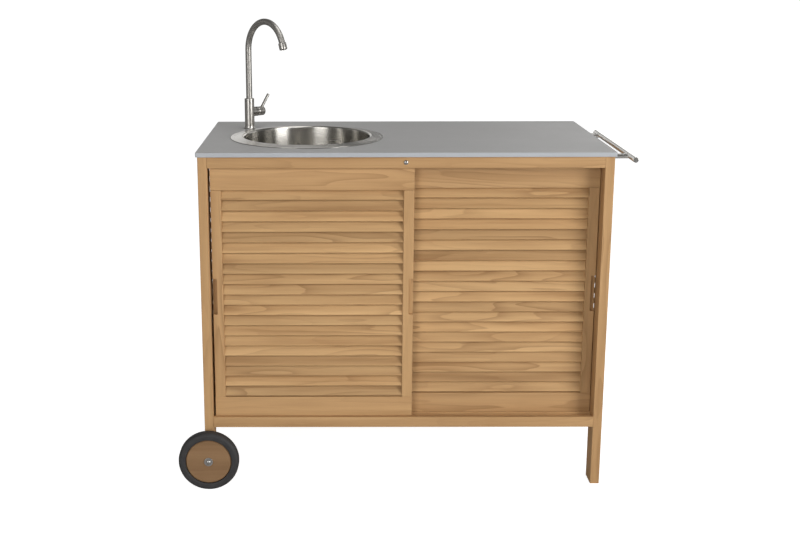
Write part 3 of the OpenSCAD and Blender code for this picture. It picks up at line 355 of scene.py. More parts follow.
@dataclass(frozen=True)
class Timber(Finish):
    """Oiled hardwood: a slow flame figure cut along the grain, brown streaks, fibres and pores."""

    grain: Axis = Axis.X
    light: Colour = (196, 157, 111)
    mid: Colour = (179, 140, 96)
    dark: Colour = (134, 97, 60)
    spread: float = 0.14
    bands: float = 7.0
    figure_scale: Place = (2.4, 20, 20)
    waver_scale: Place = (9, 80, 80)
    streak_scale: Place = (1.2, 30, 30)
    patch_scale: Place = (2.4, 9, 9)
    fibre_scale: Place = (7, 420, 420)
    pore_scale: Place = (40, 1500, 1500)
    ring_sharpness: float = 2.6
    ring_waver: float = 0.4
    ring_end: float = 0.95
    ring_band: Point = (0.42, 0.66)
    ring_share: Point = (0.12, 0.6)
    mid_band: Point = (0.36, 0.64)
    brown_band: Point = (0.6, 0.74)
    brown_share: float = 0.4
    pore_band: Point = (0.62, 0.8)
    pore_share: float = 0.2
    pit_band: Point = (0.6, 0.8)
    pit_share: float = 0.6
    fibre_share: float = 0.6
    fibre_tone: Point = (0.965, 1.035)
    rough_range: Point = (0.5, 0.64)
    grain_shift: float = 9.0

    def placed(self, graph: Graph) -> tuple[Socket, Socket]:
        """Gives each piece of wood its own place in the grain.

        Args:
            graph: The material's graph.

        Returns:
            Where to sample the grain, and a random number for the piece.
        """
        outputs = graph.split(graph.place)
        along, across, through = (outputs[axis] for axis in self.grain.value)
        island = graph.node("ShaderNodeNewGeometry").outputs["Random Per Island"]
        piece = graph.node("ShaderNodeObjectInfo").outputs["Random"]
        # The factors only keep one random number from following another
        seed = graph.math("FRACT", graph.math("ADD", island, graph.math("MULTIPLY", piece, 7.31)))
        second = graph.math("FRACT", graph.math("MULTIPLY", seed, 17.7))
        along = graph.math("ADD", along, graph.math("MULTIPLY", seed, self.grain_shift))
        across = graph.math("ADD", across, second)
        return graph.vector(along, across, graph.math("ADD", through, seed)), second

    def late_wood(self, graph: Graph, place: Socket) -> Socket:
        """Works out how dark the growth rings are.

        Args:
            graph: The material's graph.
            place: Where to sample the grain.

        Returns:
            The share of late wood, which rises through each ring and then drops.
        """
        figure = graph.noise(graph.scaled(place, self.figure_scale), 1.0, 1, 0.4)
        waver = graph.noise(graph.scaled(place, self.waver_scale), 1.0, 2, 0.5)
        flame = graph.math("MULTIPLY", figure, self.bands)
        ring = graph.math("FRACT", graph.math("ADD", flame, graph.math("MULTIPLY", waver, self.ring_waver)))
        rise = graph.math("POWER", ring, self.ring_sharpness)
        return graph.math("MULTIPLY", rise, graph.remap(ring, self.ring_end, 1.0, 1.0, 0.0))

    def paint(self, graph: Graph) -> None:
        """Fills the shader graph; the grain's place and tone differ from piece to piece.

        Args:
            graph: The material's graph.
        """
        place, second = self.placed(graph)
        late = self.late_wood(graph, place)
        streak = graph.noise(graph.scaled(place, self.streak_scale), 1.0, 4, 0.55)
        fibre = graph.noise(graph.scaled(place, self.fibre_scale), 1.0, 3, 0.6)
        pore = graph.noise(graph.scaled(place, self.pore_scale), 1.0, 1, 0.5)

        dark = linear(*self.dark)
        colour = graph.blend(graph.remap(streak, *self.mid_band), linear(*self.light), linear(*self.mid))
        patch = graph.noise(graph.scaled(place, self.patch_scale), 1.0, 1)
        ring_share = graph.remap(patch, *self.ring_band, *self.ring_share)
        colour = graph.blend(graph.math("MULTIPLY", late, ring_share), colour, dark)
        brown = graph.math("MULTIPLY", graph.remap(streak, *self.brown_band), self.brown_share)
        colour = graph.blend(brown, colour, dark)
        colour = graph.blend(graph.remap(pore, *self.pore_band, 0.0, self.pore_share), colour, dark)
        piece_tone = graph.math("MULTIPLY", second, self.spread)
        tone = graph.math("ADD", graph.remap(fibre, *USUAL, *self.fibre_tone), piece_tone)
        colour = graph.toned(colour, graph.math("SUBTRACT", tone, self.spread / 2))

        graph.surface(colour, graph.remap(fibre, *USUAL, *self.rough_range), specular=0.28)
        pits = graph.remap(pore, *self.pit_band, 0.0, self.pit_share)
        fibres = graph.math("MULTIPLY", fibre, self.fibre_share)
        graph.bump(graph.math("SUBTRACT", fibres, pits), depth=0.0002, strength=0.4)


@dataclass(frozen=True)
class Stone(Finish):
    """Honed grey stone with a fine speckle and faint clouds; its upright faces take a paler colour, which is
    painted light from the front.
    """

    base: Colour = (164, 163, 162)
    # painted light: the paler colour of the upright faces stands in for the light that falls on them from the
    # front
    edge: Colour = (178, 181, 185)
    grit_colour: Colour = (96, 96, 98)
    cloud_scale: float = 9.0
    speckle_scale: float = 620.0
    grit_scale: float = 1500.0
    # painted light: range of facing over which the upright faces' painted paler colour comes in
    lit_side_band: Point = (0.25, 0.75)
    cloud_tone: Point = (0.97, 1.015)
    fleck_band: Point = (0.35, 0.65)
    fleck_tone: Point = (-0.035, 0.035)
    grit_band: Point = (0.66, 0.74)
    grit_share: float = 0.3
    rough_range: Point = (0.44, 0.56)

    def paint(self, graph: Graph) -> None:
        """Fills the shader graph.

        Args:
            graph: The material's graph.
        """
        cloud = graph.noise(graph.place, self.cloud_scale, 5, 0.6)
        speckle = graph.noise(graph.place, self.speckle_scale, 2, 0.7)
        grit = graph.noise(graph.place, self.grit_scale, 1, 0.5)
        facing = graph.split(graph.node("ShaderNodeTexCoord").outputs["Normal"])
        # painted light: faces that stand upright take the paler colour, as if lit from the front
        lit_side = graph.remap(graph.math("ABSOLUTE", facing["Z"]), *self.lit_side_band, 1.0, 0.0)
        fleck = graph.remap(speckle, *self.fleck_band, *self.fleck_tone)
        tone = graph.math("ADD", graph.remap(cloud, *USUAL, *self.cloud_tone), fleck)
        colour = graph.toned(graph.blend(lit_side, linear(*self.base), linear(*self.edge)), tone)
        specks = graph.remap(grit, *self.grit_band, 0.0, self.grit_share)
        colour = graph.blend(specks, colour, linear(*self.grit_colour))
        graph.surface(colour, graph.remap(cloud, *USUAL, *self.rough_range), specular=0.3)
        graph.bump(graph.math("ADD", speckle, grit), depth=0.0001, strength=0.3)


@dataclass(frozen=True)
class Steel(Finish):
    """Brushed stainless steel. The scratches run round the given centre, or along one axis."""

    base: Colour = (196, 193, 188)
    rough: float = 0.26
    centre: Point | None = None
    stretch: Place = (900, 900, 6)
    turned: float = 0.0
    scratched: float = 1.0
    ring_scale: float = 1400.0
    smear_scale: float = 22.0
    scratch_tone: Point = (-0.05, 0.03)
    scratch_rough: Point = (-0.05, 0.06)
    smear_band: Point = (0.35, 0.65)
    smear_tone: Point = (-0.02, 0.02)
    smear_rough: Point = (-0.02, 0.03)

    def turned_place(self, graph: Graph) -> Socket:
        """Works out a place whose noise runs in rings round the centre.

        Args:
            graph: The material's graph.

        Returns:
            The place.
        """
        outputs = graph.split(graph.place)
        dx = graph.math("SUBTRACT", outputs["X"], self.centre[0])
        dy = graph.math("SUBTRACT", outputs["Y"], self.centre[1])
        squares = graph.math("ADD", graph.math("MULTIPLY", dx, dx), graph.math("MULTIPLY", dy, dy))
        turn = graph.math("MULTIPLY", graph.math("ARCTAN2", dy, dx), 2.0)
        radius = graph.math("MULTIPLY", graph.math("SQRT", squares), self.ring_scale)
        return graph.vector(turn, radius, graph.math("MULTIPLY", outputs["Z"], self.ring_scale))

    def paint(self, graph: Graph) -> None:
        """Fills the shader graph.

        Args:
            graph: The material's graph.
        """
        place = self.turned_place(graph) if self.centre else graph.scaled(graph.place, self.stretch)
        scratch = graph.noise(place, 1.0, 3, 0.6)
        smear = graph.noise(graph.place, self.smear_scale, 3, 0.5)
        depth = self.scratched
        brushed = graph.remap(scratch, *USUAL, *(1 + more * depth for more in self.scratch_tone))
        tone = graph.math("ADD", brushed, graph.remap(smear, *self.smear_band, *self.smear_tone))
        colour = graph.toned(linear(*self.base), tone)
        hazy = graph.remap(smear, *USUAL, *(self.rough + more for more in self.smear_rough))
        scored = graph.remap(scratch, *USUAL, *(more * depth for more in self.scratch_rough))
        graph.surface(colour, graph.math("ADD", scored, hazy), metal=1.0)
        if depth:
            graph.bump(scratch, depth=0.00004, strength=0.25 * depth)
        if self.turned:
            graph.shader.inputs["Anisotropic"].default_value = self.turned
            graph.shader.inputs["Anisotropic Rotation"].default_value = QUARTER_TURN
            tangent = graph.node("ShaderNodeTangent", direction_type="RADIAL", axis="Z")
            graph.feed(graph.shader.inputs["Tangent"], tangent.outputs[0])


@dataclass(frozen=True)
class Rubber(Finish):
    """Black rubber with a dry bloom."""

    base: Colour = (52, 51, 52)
    bloom_colour: Colour = (78, 76, 74)
    rough: float = 0.62
    bloom_scale: float = 45.0
    bloom_band: Point = (0.45, 0.8)
    bloom_share: float = 0.35
    bloom_rough: Point = (-0.06, 0.08)
    grain_scale: float = 1300.0

    def paint(self, graph: Graph) -> None:
        """Fills the shader graph.

        Args:
            graph: The material's graph.
        """
        bloom = graph.noise(graph.place, self.bloom_scale, 4, 0.6)
        grain = graph.noise(graph.place, self.grain_scale, 2, 0.5)
        share = graph.remap(bloom, *self.bloom_band, 0.0, self.bloom_share)
        colour = graph.blend(share, linear(*self.base), linear(*self.bloom_colour))
        rough = graph.remap(bloom, *USUAL, *(self.rough + more for more in self.bloom_rough))
        graph.surface(colour, rough, specular=0.4)
        graph.bump(grain, depth=0.00012, strength=0.3)


@dataclass(frozen=True)
class Plastic(Finish):
    """Moulded plastic with a fine texture."""

    base: Colour = (216, 215, 208)
    rough: float = 0.45
    haze_scale: float = 60.0
    haze_tone: Point = (0.96, 1.03)
    haze_rough: Point = (-0.04, 0.05)
    grain_scale: float = 1600.0

    def paint(self, graph: Graph) -> None:
        """Fills the shader graph.

        Args:
            graph: The material's graph.
        """
        haze = graph.noise(graph.place, self.haze_scale, 3, 0.5)
        grain = graph.noise(graph.place, self.grain_scale, 1, 0.5)
        colour = graph.toned(linear(*self.base), graph.remap(haze, *USUAL, *self.haze_tone))
        rough = graph.remap(haze, *USUAL, *(self.rough + more for more in self.haze_rough))
        graph.surface(colour, rough, specular=0.45)
        graph.bump(grain, depth=0.00006, strength=0.3)


EVEN = (260, 260, 260)  # scratches that run no way in particular
FRAME_WOOD = {axis: Timber(f"teak_frame_{axis.name}", "teak_frame", axis) for axis in Axis}
SLAT_WOOD = {
    axis: Timber(
        f"teak_slats_{axis.name}", "teak_slats", axis, light=(206, 168, 120), mid=(184, 145, 100),
        dark=(136, 98, 60), spread=0.24) for axis in Axis}
# painted shade: the wheel disc's teak gets darker browns than the frame's, standing in for the shade it sits
# in, low under the cabinet
SHADED_DISC_WOOD = Timber(
    "shaded_wood_disc_X", "wood_disc", Axis.X, light=(146, 114, 81), mid=(134, 103, 72), dark=(112, 82, 55),
    spread=0.04, bands=2.0)
SLAB_STONE = Stone("worktop_stone", "worktop_stone")
TAP_STEEL = Steel("tap_steel", "tap_steel", base=(184, 181, 176), rough=0.28, scratched=0.0)
TUBE_STEEL = Steel("tube_steel", "tap_steel", base=(166, 163, 158), rough=0.42, scratched=0.0)
BAR_STEEL = Steel("bar_steel", "tap_steel", base=(205, 203, 199), rough=0.2, scratched=0.0)
BOLT_STEEL = Steel("bolt_steel", "bolt_steel", base=(178, 177, 175), rough=0.3, stretch=EVEN)
STRAINER_STEEL = Steel("strainer_steel", "sink_steel", base=(190, 188, 184), rough=0.25, stretch=EVEN)
SEAL_RUBBER = Rubber("black_rubber", "black_rubber")
TYRE_RUBBER = Rubber("tyre_rubber", "tyre_rubber", base=(50, 49, 50))
WHITE_NYLON = Plastic("white_nylon", "white_nylon")
GREY_PLASTIC = Plastic("grey_plastic", "grey_plastic", base=(92, 94, 97))
# painted shade: near-black plastic. On the spout's joint ring it stands in for the shade in the gap, and on
# the aerator's screen its darkness is partly painted shade of the holes and the hollow behind
PAINTED_SHADE_DARK = Plastic("painted_shade_dark", "grey_plastic", base=(38, 38, 38), rough=0.6)


@dataclass
class Piece:
    """One shown piece while its mesh is made. Lengths given to its methods are in millimetres."""

    name: str
    body: Body
    finish: Finish
    replaced: tuple[str, ...] = ()
    mesh: bmesh.types.BMesh = field(default_factory=bmesh.new)

    def copy_node(self, node: str, ease: float = 0.0) -> None:
        """Takes a clean copy of a CAD node's mesh.

        Args:
            node: The CAD node.
            ease: Width of an eased edge to give its square edges.
        """
        mesh = self.mesh
        mesh.from_mesh(bpy.data.objects[node].data)
        bmesh.ops.remove_doubles(mesh, verts=mesh.verts, dist=MERGED)
        bmesh.ops.dissolve_limit(mesh, angle_limit=FLAT, verts=mesh.verts, edges=mesh.edges)
        if ease:
            square = [e for e in mesh.edges if len(e.link_faces) == 2 and e.calc_face_angle() > SQUARE]
            bmesh.ops.bevel(
                mesh, geom=square, offset=ease * MM, segments=3, profile=0.5, affect="EDGES", material=-1)

    def lathe(self, profile: Profile, place: Matrix, steps: int = 96, closed: bool = False) -> None:
        """Turns a profile of (radius, height) about the Z axis of a frame.

        Args:
            profile: Points of the section.
            place: The frame.
            steps: Number of steps round.
            closed: Whether the section's last point joins its first.
        """
        verts = [self.mesh.verts.new((r * MM, 0, z * MM)) for r, z in profile]
        pairs = list(zip(verts, verts[1:])) + ([(verts[-1], verts[0])] if closed else [])
        edges = [self.mesh.edges.new(pair) for pair in pairs]
        bmesh.ops.transform(self.mesh, matrix=place, verts=verts)
        made = set(self.mesh.verts)
        bmesh.ops.spin(
            self.mesh, geom=verts + edges, cent=place.translation, axis=place.to_3x3() @ Vector((0, 0, 1)),
            angle=2 * math.pi, steps=steps, use_merge=True, use_duplicate=False)
        new = [v for v in self.mesh.verts if v not in made] + verts
        bmesh.ops.remove_doubles(self.mesh, verts=new, dist=MERGED)

    def swept_tube(self, radius: float, place: Matrix, rise: float, bend: float, angle: float) -> None:
        """Straight tube along Z that then bends towards the frame's X axis, closed at both ends.

        Args:
            radius: Outside radius of the tube.
            place: Frame at the tube's foot.
            rise: Length of the straight run.
            bend: Radius of the bend at the tube's middle.
            angle: Angle of the bend in degrees.
        """
        sides, lengths, turns = 48, 4, 56
        ring = bmesh.ops.create_circle(
            self.mesh, cap_ends=False, radius=radius * MM, segments=sides, matrix=place)["verts"]
        edges = {e for v in ring for e in v.link_edges}
        up = place.to_3x3() @ Vector((0, 0, 1))
        side = place.to_3x3() @ Vector((1, 0, 0))
        for _ in range(lengths):
            grown = bmesh.ops.extrude_edge_only(self.mesh, edges=list(edges))["geom"]
            verts = [g for g in grown if isinstance(g, bmesh.types.BMVert)]
            edges = {g for g in grown if isinstance(g, bmesh.types.BMEdge)}
            bmesh.ops.translate(self.mesh, verts=verts, vec=up * rise * MM / lengths)
        centre = place.translation + up * rise * MM + side * bend * MM
        bmesh.ops.spin(
            self.mesh, geom=verts + list(edges), cent=centre, axis=up.cross(side),
            angle=math.radians(angle), steps=turns, use_duplicate=False)
        bmesh.ops.holes_fill(self.mesh, edges=self.mesh.edges, sides=sides)

    def done(self, sharp: float = 38.0, mend: bool = True, even: bool = True) -> bpy.types.Object:
        """Makes the object, shades it, and hands it to the frame.

        Args:
            sharp: Edges that turn by more degrees than this stay crisp.
            mend: Whether normals are turned outwards first.
            even: Whether its normals are weighted by the faces' areas.

        Returns:
            The finished object.
        """
        if mend:
            bmesh.ops.recalc_face_normals(self.mesh, faces=self.mesh.faces)
        for face in self.mesh.faces:
            face.smooth = True
        for edge in self.mesh.edges:
            edge.smooth = len(edge.link_faces) != 2 or edge.calc_face_angle() < math.radians(sharp)
        data = bpy.data.meshes.new(self.name)
        self.mesh.to_mesh(data)
        self.mesh.free()
        data.materials.append(self.finish.material())
        made = bpy.data.objects.new(self.name, data)
        bpy.context.scene.collection.objects.link(made)
        if even:
            weighted = made.modifiers.new("even_normals", "WEIGHTED_NORMAL")
            weighted.keep_sharp = True
            weighted.weight = 80
        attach(made, self.body.value)
        if self.replaced:
            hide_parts(*self.replaced)
        LOG.info("built %s: %d faces on %s", self.name, len(data.polygons), self.body.value)
        return made


def copied(node: str, body: Body, finish: Finish, ease: float = 0.0) -> bpy.types.Object:
    """Shows a CAD node through a clean, smooth-shaded copy.

    Args:
        node: The CAD node.
        body: The body that it rides on.
        finish: Its finish.
        ease: Width of an eased edge on its square edges, in millimetres.

    Returns:
        The shown object.
    """
    piece = Piece(f"{node}_shown", body, finish, (node,))
    piece.copy_node(node, ease)
    return piece.done(mend=False)


@dataclass
class Cabinet:
    """The fixed timber: posts, rails, louvres, bearers and floor."""

    uprights: tuple[str, ...] = (
        "post_front_left", "post_front_right", "post_rear_left", "post_rear_right", "back_mullion")
    long_rails: tuple[str, ...] = ("head_rail", "sill_rail", "rear_top_rail", "rear_bottom_rail")
    cross_rails: tuple[str, ...] = ("side_rails", "centre_bearer", "floor_bearers")
    cross_slats: tuple[str, ...] = ("left_side_slats", "right_side_slats")
    long_slats: tuple[str, ...] = ("back_slats", "floor_boards")
    fixings: tuple[str, ...] = ("frame_bolts", "cross_nuts")

    def build(self) -> None:
        """Builds every fixed timber, and the bolts and nuts that join them."""
        for nodes, finish in (
            (self.uprights, FRAME_WOOD[Axis.Z]), (self.long_rails, FRAME_WOOD[Axis.X]),
            (self.cross_rails, FRAME_WOOD[Axis.Y]), (self.cross_slats, SLAT_WOOD[Axis.Y]),
            (self.long_slats, SLAT_WOOD[Axis.X]), (self.fixings, BOLT_STEEL),
        ):
            for node in nodes:
                copied(node, Body.CABINET, finish)


@dataclass
class SlidingDoor:
    """One louvred door on nylon glides."""

    side: Body

    def build(self) -> None:
        """Builds the door's stiles, rails, slats and glides."""
        for part, finish in (
            ("left_stile", FRAME_WOOD[Axis.Z]), ("right_stile", FRAME_WOOD[Axis.Z]),
            ("top_rail", FRAME_WOOD[Axis.X]), ("bottom_rail", FRAME_WOOD[Axis.X]),
            ("slats", SLAT_WOOD[Axis.X]), ("glides", WHITE_NYLON),
        ):
            copied(f"{self.side.value}_{part}", self.side, finish)


@dataclass
class Worktop:
    """The stone slab with its sink and tap cut-outs."""

    ease: float = 0.9

    def build(self) -> None:
        """Builds the slab with eased edges."""
        copied("worktop", Body.CABINET, SLAB_STONE, ease=self.ease)


@dataclass
class InsetSink:
    """Round brushed bowl with a raised rim, its seal, clips, waste and strainer."""

    rim: float = 215.0
    rim_edge: float = 1.2
    rim_drop: float = 0.2
    land: float = 8.0
    roll: float = 3.4
    roll_in: float = 6.0
    roll_start: float = 262.0
    lip: float = 6.0
    lip_end: float = 86.0
    bowl: float = 177.5
    corner: float = 45.0
    hole: float = 45.0
    wall: float = 1.0
    seal_h: float = 0.8
    waste_ring_h: float = 1.5

    def section(self, floor: float, land_z: float, crown: float, depth: float) -> list[Point]:
        """Section of the bowl's wet side, or of its underside.

        Args:
            floor: Height of the bowl's floor.
            land_z: Height of the rim's flat edge.
            crown: Height of the rim's crown.
            depth: Depth below the wet side, which is the steel's thickness for the underside.

        Returns:
            Points from the waste hole to the rim's edge.
        """
        drop = 0.0 if depth else self.rim_drop
        return [
            (self.hole, floor - depth),
            *arc((self.bowl - self.corner, floor + self.corner), self.corner + depth, -90, 0, 18),
            *arc((self.bowl + self.lip, crown - self.lip), self.lip - depth, 180, self.lip_end, 12),
            *arc((self.rim - self.land - self.roll_in, land_z + self.roll), self.roll + depth,
                 self.roll_start, 270, 2),
            (self.rim - self.rim_edge, land_z - depth), (self.rim, land_z - depth - drop),
        ]

    def build(self) -> None:
        """Builds the bowl from its section, and shows what is fixed to it."""
        low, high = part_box("sink_bowl")
        centre = (low + high) / 2
        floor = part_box("waste_seals")[1].z / MM - self.waste_ring_h
        land_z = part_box("worktop")[1].z / MM + self.seal_h + self.wall
        steel = Steel(
            "sink_steel", "sink_steel", base=(196, 193, 187), rough=0.24, centre=(centre.x, centre.y),
            turned=0.9, scratched=0.4)
        bowl = Piece("sink_bowl_shown", Body.CABINET, steel, ("sink_bowl",))
        wet = self.section(floor, land_z, high.z / MM, 0.0)
        under = self.section(floor, land_z, high.z / MM, self.wall)
        place = Matrix.Translation((centre.x, centre.y, 0))
        bowl.lathe(wet + under[::-1], place, steps=192, closed=True)
        bowl.done(30.0, even=False)
        for node, finish in (
            ("sink_seal", SEAL_RUBBER), ("sink_clips", BOLT_STEEL), ("waste_body", BOLT_STEEL),
            ("waste_seals", SEAL_RUBBER), ("waste_ring_nut", GREY_PLASTIC), ("waste_tail", GREY_PLASTIC),
        ):
            copied(node, Body.CABINET, finish)
        copied("strainer_basket", Body.STRAINER, STRAINER_STEEL)


@dataclass
class MixerTap:
    """Swivel tap: flared body, arched spout, aerator, and a lever on a ball seat."""

    joints: list[dict]
    ease: float = 0.3
    foot_r: float = 17.5
    foot_h: float = 9.0
    plinth: float = 1.5
    flare_share: float = 0.95
    body_r: float = 14.25
    body_h: float = 90.0
    brow: float = 1.0
    mouth_depth: float = 4.0
    spout_r: float = 9.0
    spout_gap: float = 0.4
    spout_rise: float = 232.0
    bend: float = 84.0
    angle: float = 160.0
    heading: float = -50.0
    socket: float = 23.7
    ring_in: float = 0.2
    ring_out: float = 0.35
    ring_top: float = 0.25
    aerator_r: float = 11.5
    aerator_len: float = 20.0
    aerator_neck: float = 9.4
    aerator_mouth: float = 8.2
    aerator_hollow: float = 3.0
    aerator_groove: float = 12.0
    neck_line: Profile = ((0.0, 0.0), (0.3, 0.4))
    shoulder_line: Profile = ((-0.6, 1.2), (0.0, 2.2))
    groove_line: Profile = ((0.0, 0.0), (-0.35, 0.3), (-0.35, 0.9), (0.0, 1.2))
    brim_line: Profile = ((0.0, -1.6), (-0.5, -0.5), (-1.6, 0.0))
    mouth_line: Profile = ((0.4, 0.0), (0.0, -0.6))
    screen_heights: Place = (0.1, 0.8, 1.1)
    collar_r: float = 14.0
    collar_end: float = 28.0
    collar_lip: Profile = ((0.0, 0.5), (0.2, 0.1), (0.4, 0.0))
    seat_mouth: float = 13.32
    seat_r: float = 13.7
    seat_rise: float = 2.5
    seat_depth: float = 4.0
    ball_reach: float = 31.5
    cap_r: float = 13.5
    cap_len: float = 20.7
    cap_skirt: float = 38.0
    cap_round: float = 5.0
    pin_r: float = 4.25
    pin_lean: float = 35.0
    pin_root: float = 12.5
    pin_len: float = 46.0
    pin_out: float = 6.0
    pin_ease: float = 1.5
    foot: Matrix = field(init=False)
    ball: Vector = field(init=False)
    outward: Vector = field(init=False)

    def __post_init__(self) -> None:
        """Takes the tap's foot, ball and the way that its collar points from the frame."""
        turn = self.joint("spout_swivel")["pos_m"]
        self.foot = Matrix.Translation((turn[0], turn[1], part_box("worktop")[1].z))
        self.ball = Vector(self.joint("lever_lift")["pos_m"])
        self.outward = Vector(self.joint("valve_turn")["axis"])

    def joint(self, name: str) -> dict:
        """Looks up a joint of the record by its name."""
        return next(joint for joint in self.joints if joint["name"] == name)

    def build(self) -> None:
        """Builds the tap from its foot to its lever, and shows what is inside it."""
        self.build_body()
        self.build_spout()
        self.build_lever()
        for node, body, finish in (
            ("tap_shank", Body.CABINET, BOLT_STEEL), ("tap_back_nut", Body.CABINET, BOLT_STEEL),
            ("tap_cartridge", Body.CABINET, WHITE_NYLON), ("tap_spindle", Body.VALVE, BOLT_STEEL),
            ("tap_cross_pin", Body.LEVER, BOLT_STEEL),
        ):
            copied(node, body, finish)

    def build_body(self) -> None:
        """Builds the body with its flared foot, and the collar that seats the lever's ball."""
        foot, top, ease, plinth = self.foot_r, self.body_h, self.ease, self.plinth
        flare = (foot - self.body_r) * self.flare_share
        mouth = self.spout_r + self.spout_gap
        piece = Piece("tap_body_shown", Body.CABINET, TAP_STEEL, ("tap_body",))
        piece.lathe([
            (0, 0), (foot - ease, 0), (foot, ease), (foot, plinth - ease), (foot - ease, plinth),
            *[(self.body_r + flare * (1 - math.sin(a)), plinth + (self.foot_h - plinth) * (1 - math.cos(a)))
              for a in map(math.radians, range(10, 91, 8))],
            (self.body_r, top - self.brow), (self.body_r - ease, top - ease), (self.body_r - self.brow, top),
            (mouth, top), (mouth, top - self.mouth_depth), (0, top - self.mouth_depth)], self.foot, steps=96)
        end = self.collar_end
        seat = end - self.seat_depth
        start = self.ball - self.outward * self.ball_reach * MM
        piece.lathe([
            (0, 0), (self.collar_r, 0), *[(self.collar_r - a, end - b) for a, b in self.collar_lip],
            (self.seat_mouth, end), (self.seat_r, end - self.seat_rise), (self.seat_r, seat), (0, seat)],
            frame_at(start, self.outward), steps=96)
        piece.done()

    def build_spout(self) -> None:
        """Builds the arched tube and the ring at its foot, and the aerator at its end."""
        heading = Matrix.Rotation(math.radians(self.heading), 4, "Z")
        foot = self.foot @ heading @ Matrix.Translation((0, 0, (self.body_h - self.socket) * MM))
        tube = Piece("tap_spout_shown", Body.SPOUT, TUBE_STEEL, ("tap_spout",))
        tube.swept_tube(
            self.spout_r, foot, self.spout_rise - self.body_h + self.socket, self.bend, self.angle)
        tube.done(60.0)
        # painted shade: a dark ring fills the gap between spout and body and stands in for the shade in the
        # joint
        ring = Piece("spout_ring", Body.SPOUT, PAINTED_SHADE_DARK)
        near, far = self.spout_r - self.ring_in, self.spout_r + self.ring_out
        low, high = self.body_h - self.brow, self.body_h + self.ring_top
        ring.lathe([(near, low), (far, low), (far, high), (near, high)], self.foot, steps=64, closed=True)
        ring.done()
        angle = math.radians(self.angle)
        along = self.bend * (1 - math.cos(angle)) * MM
        up = (self.spout_rise + self.bend * math.sin(angle)) * MM
        end = self.foot @ heading @ Matrix.Translation((along, 0, up)) @ Matrix.Rotation(angle, 4, "Y")
        self.build_aerator(end)

    def build_aerator(self, end: Matrix) -> None:
        """Builds the grooved aerator and the dark screen in its mouth.

        Args:
            end: Frame at the spout's end, with Z running out of it.
        """
        r, length, neck, mouth = self.aerator_r, self.aerator_len, self.aerator_neck, self.aerator_mouth
        floor = length - self.aerator_hollow
        head = Piece("tap_aerator_shown", Body.SPOUT, TAP_STEEL, ("tap_aerator",))
        head.lathe([
            (0, 0), *[(neck + a, b) for a, b in self.neck_line], *[(r + a, b) for a, b in self.shoulder_line],
            *[(r + a, self.aerator_groove + b) for a, b in self.groove_line],
            *[(r + a, length + b) for a, b in self.brim_line],
            *[(mouth + a, length + b) for a, b in self.mouth_line],
            (mouth, floor), (0, floor)], end, steps=80)
        head.done()
        # partly painted shade: the screen is a real part, and its near-black colour also stands in for the
        # shade in its holes and the hollow mouth
        screen = Piece("aerator_screen", Body.SPOUT, PAINTED_SHADE_DARK)
        edge = mouth - self.ease
        under, rim, crown = (floor + height for height in self.screen_heights)
        screen.lathe([(0, under), (edge, under), (edge, rim), (0, crown)], end, steps=48)
        screen.done()

    def build_lever(self) -> None:
        """Builds the cap that turns and tilts on the ball, and its pin."""
        cap = Piece("tap_lever_cap_shown", Body.LEVER, TAP_STEEL, ("tap_lever_cap",))
        r, length, curve = self.cap_r, self.cap_len, self.cap_round
        cap.lathe([
            (0, -r * math.sin(math.radians(self.cap_skirt))), *arc((0, 0), r, -self.cap_skirt, 0, 14),
            (r, length - curve), *arc((r - curve, length - curve), curve, 0, 90, 14)[1:], (0, length)],
            frame_at(self.ball, self.outward), steps=96)
        cap.done()
        lean = math.radians(self.pin_lean)
        along = self.outward * math.sin(lean) + Vector((0, 0, math.cos(lean)))
        start = self.ball + self.outward * self.pin_out * MM + along * self.pin_root * MM
        pin = Piece("tap_lever_pin_shown", Body.LEVER, TUBE_STEEL, ("tap_lever_pin",))
        r, end, ease = self.pin_r, self.pin_len, self.pin_ease
        pin.lathe([
            (0, 0), (r, 0), (r, end - ease), *arc((r - ease, end - ease), ease, 0, 90, 6)[1:], (0, end)],
            frame_at(start, along), steps=64)
        pin.done()


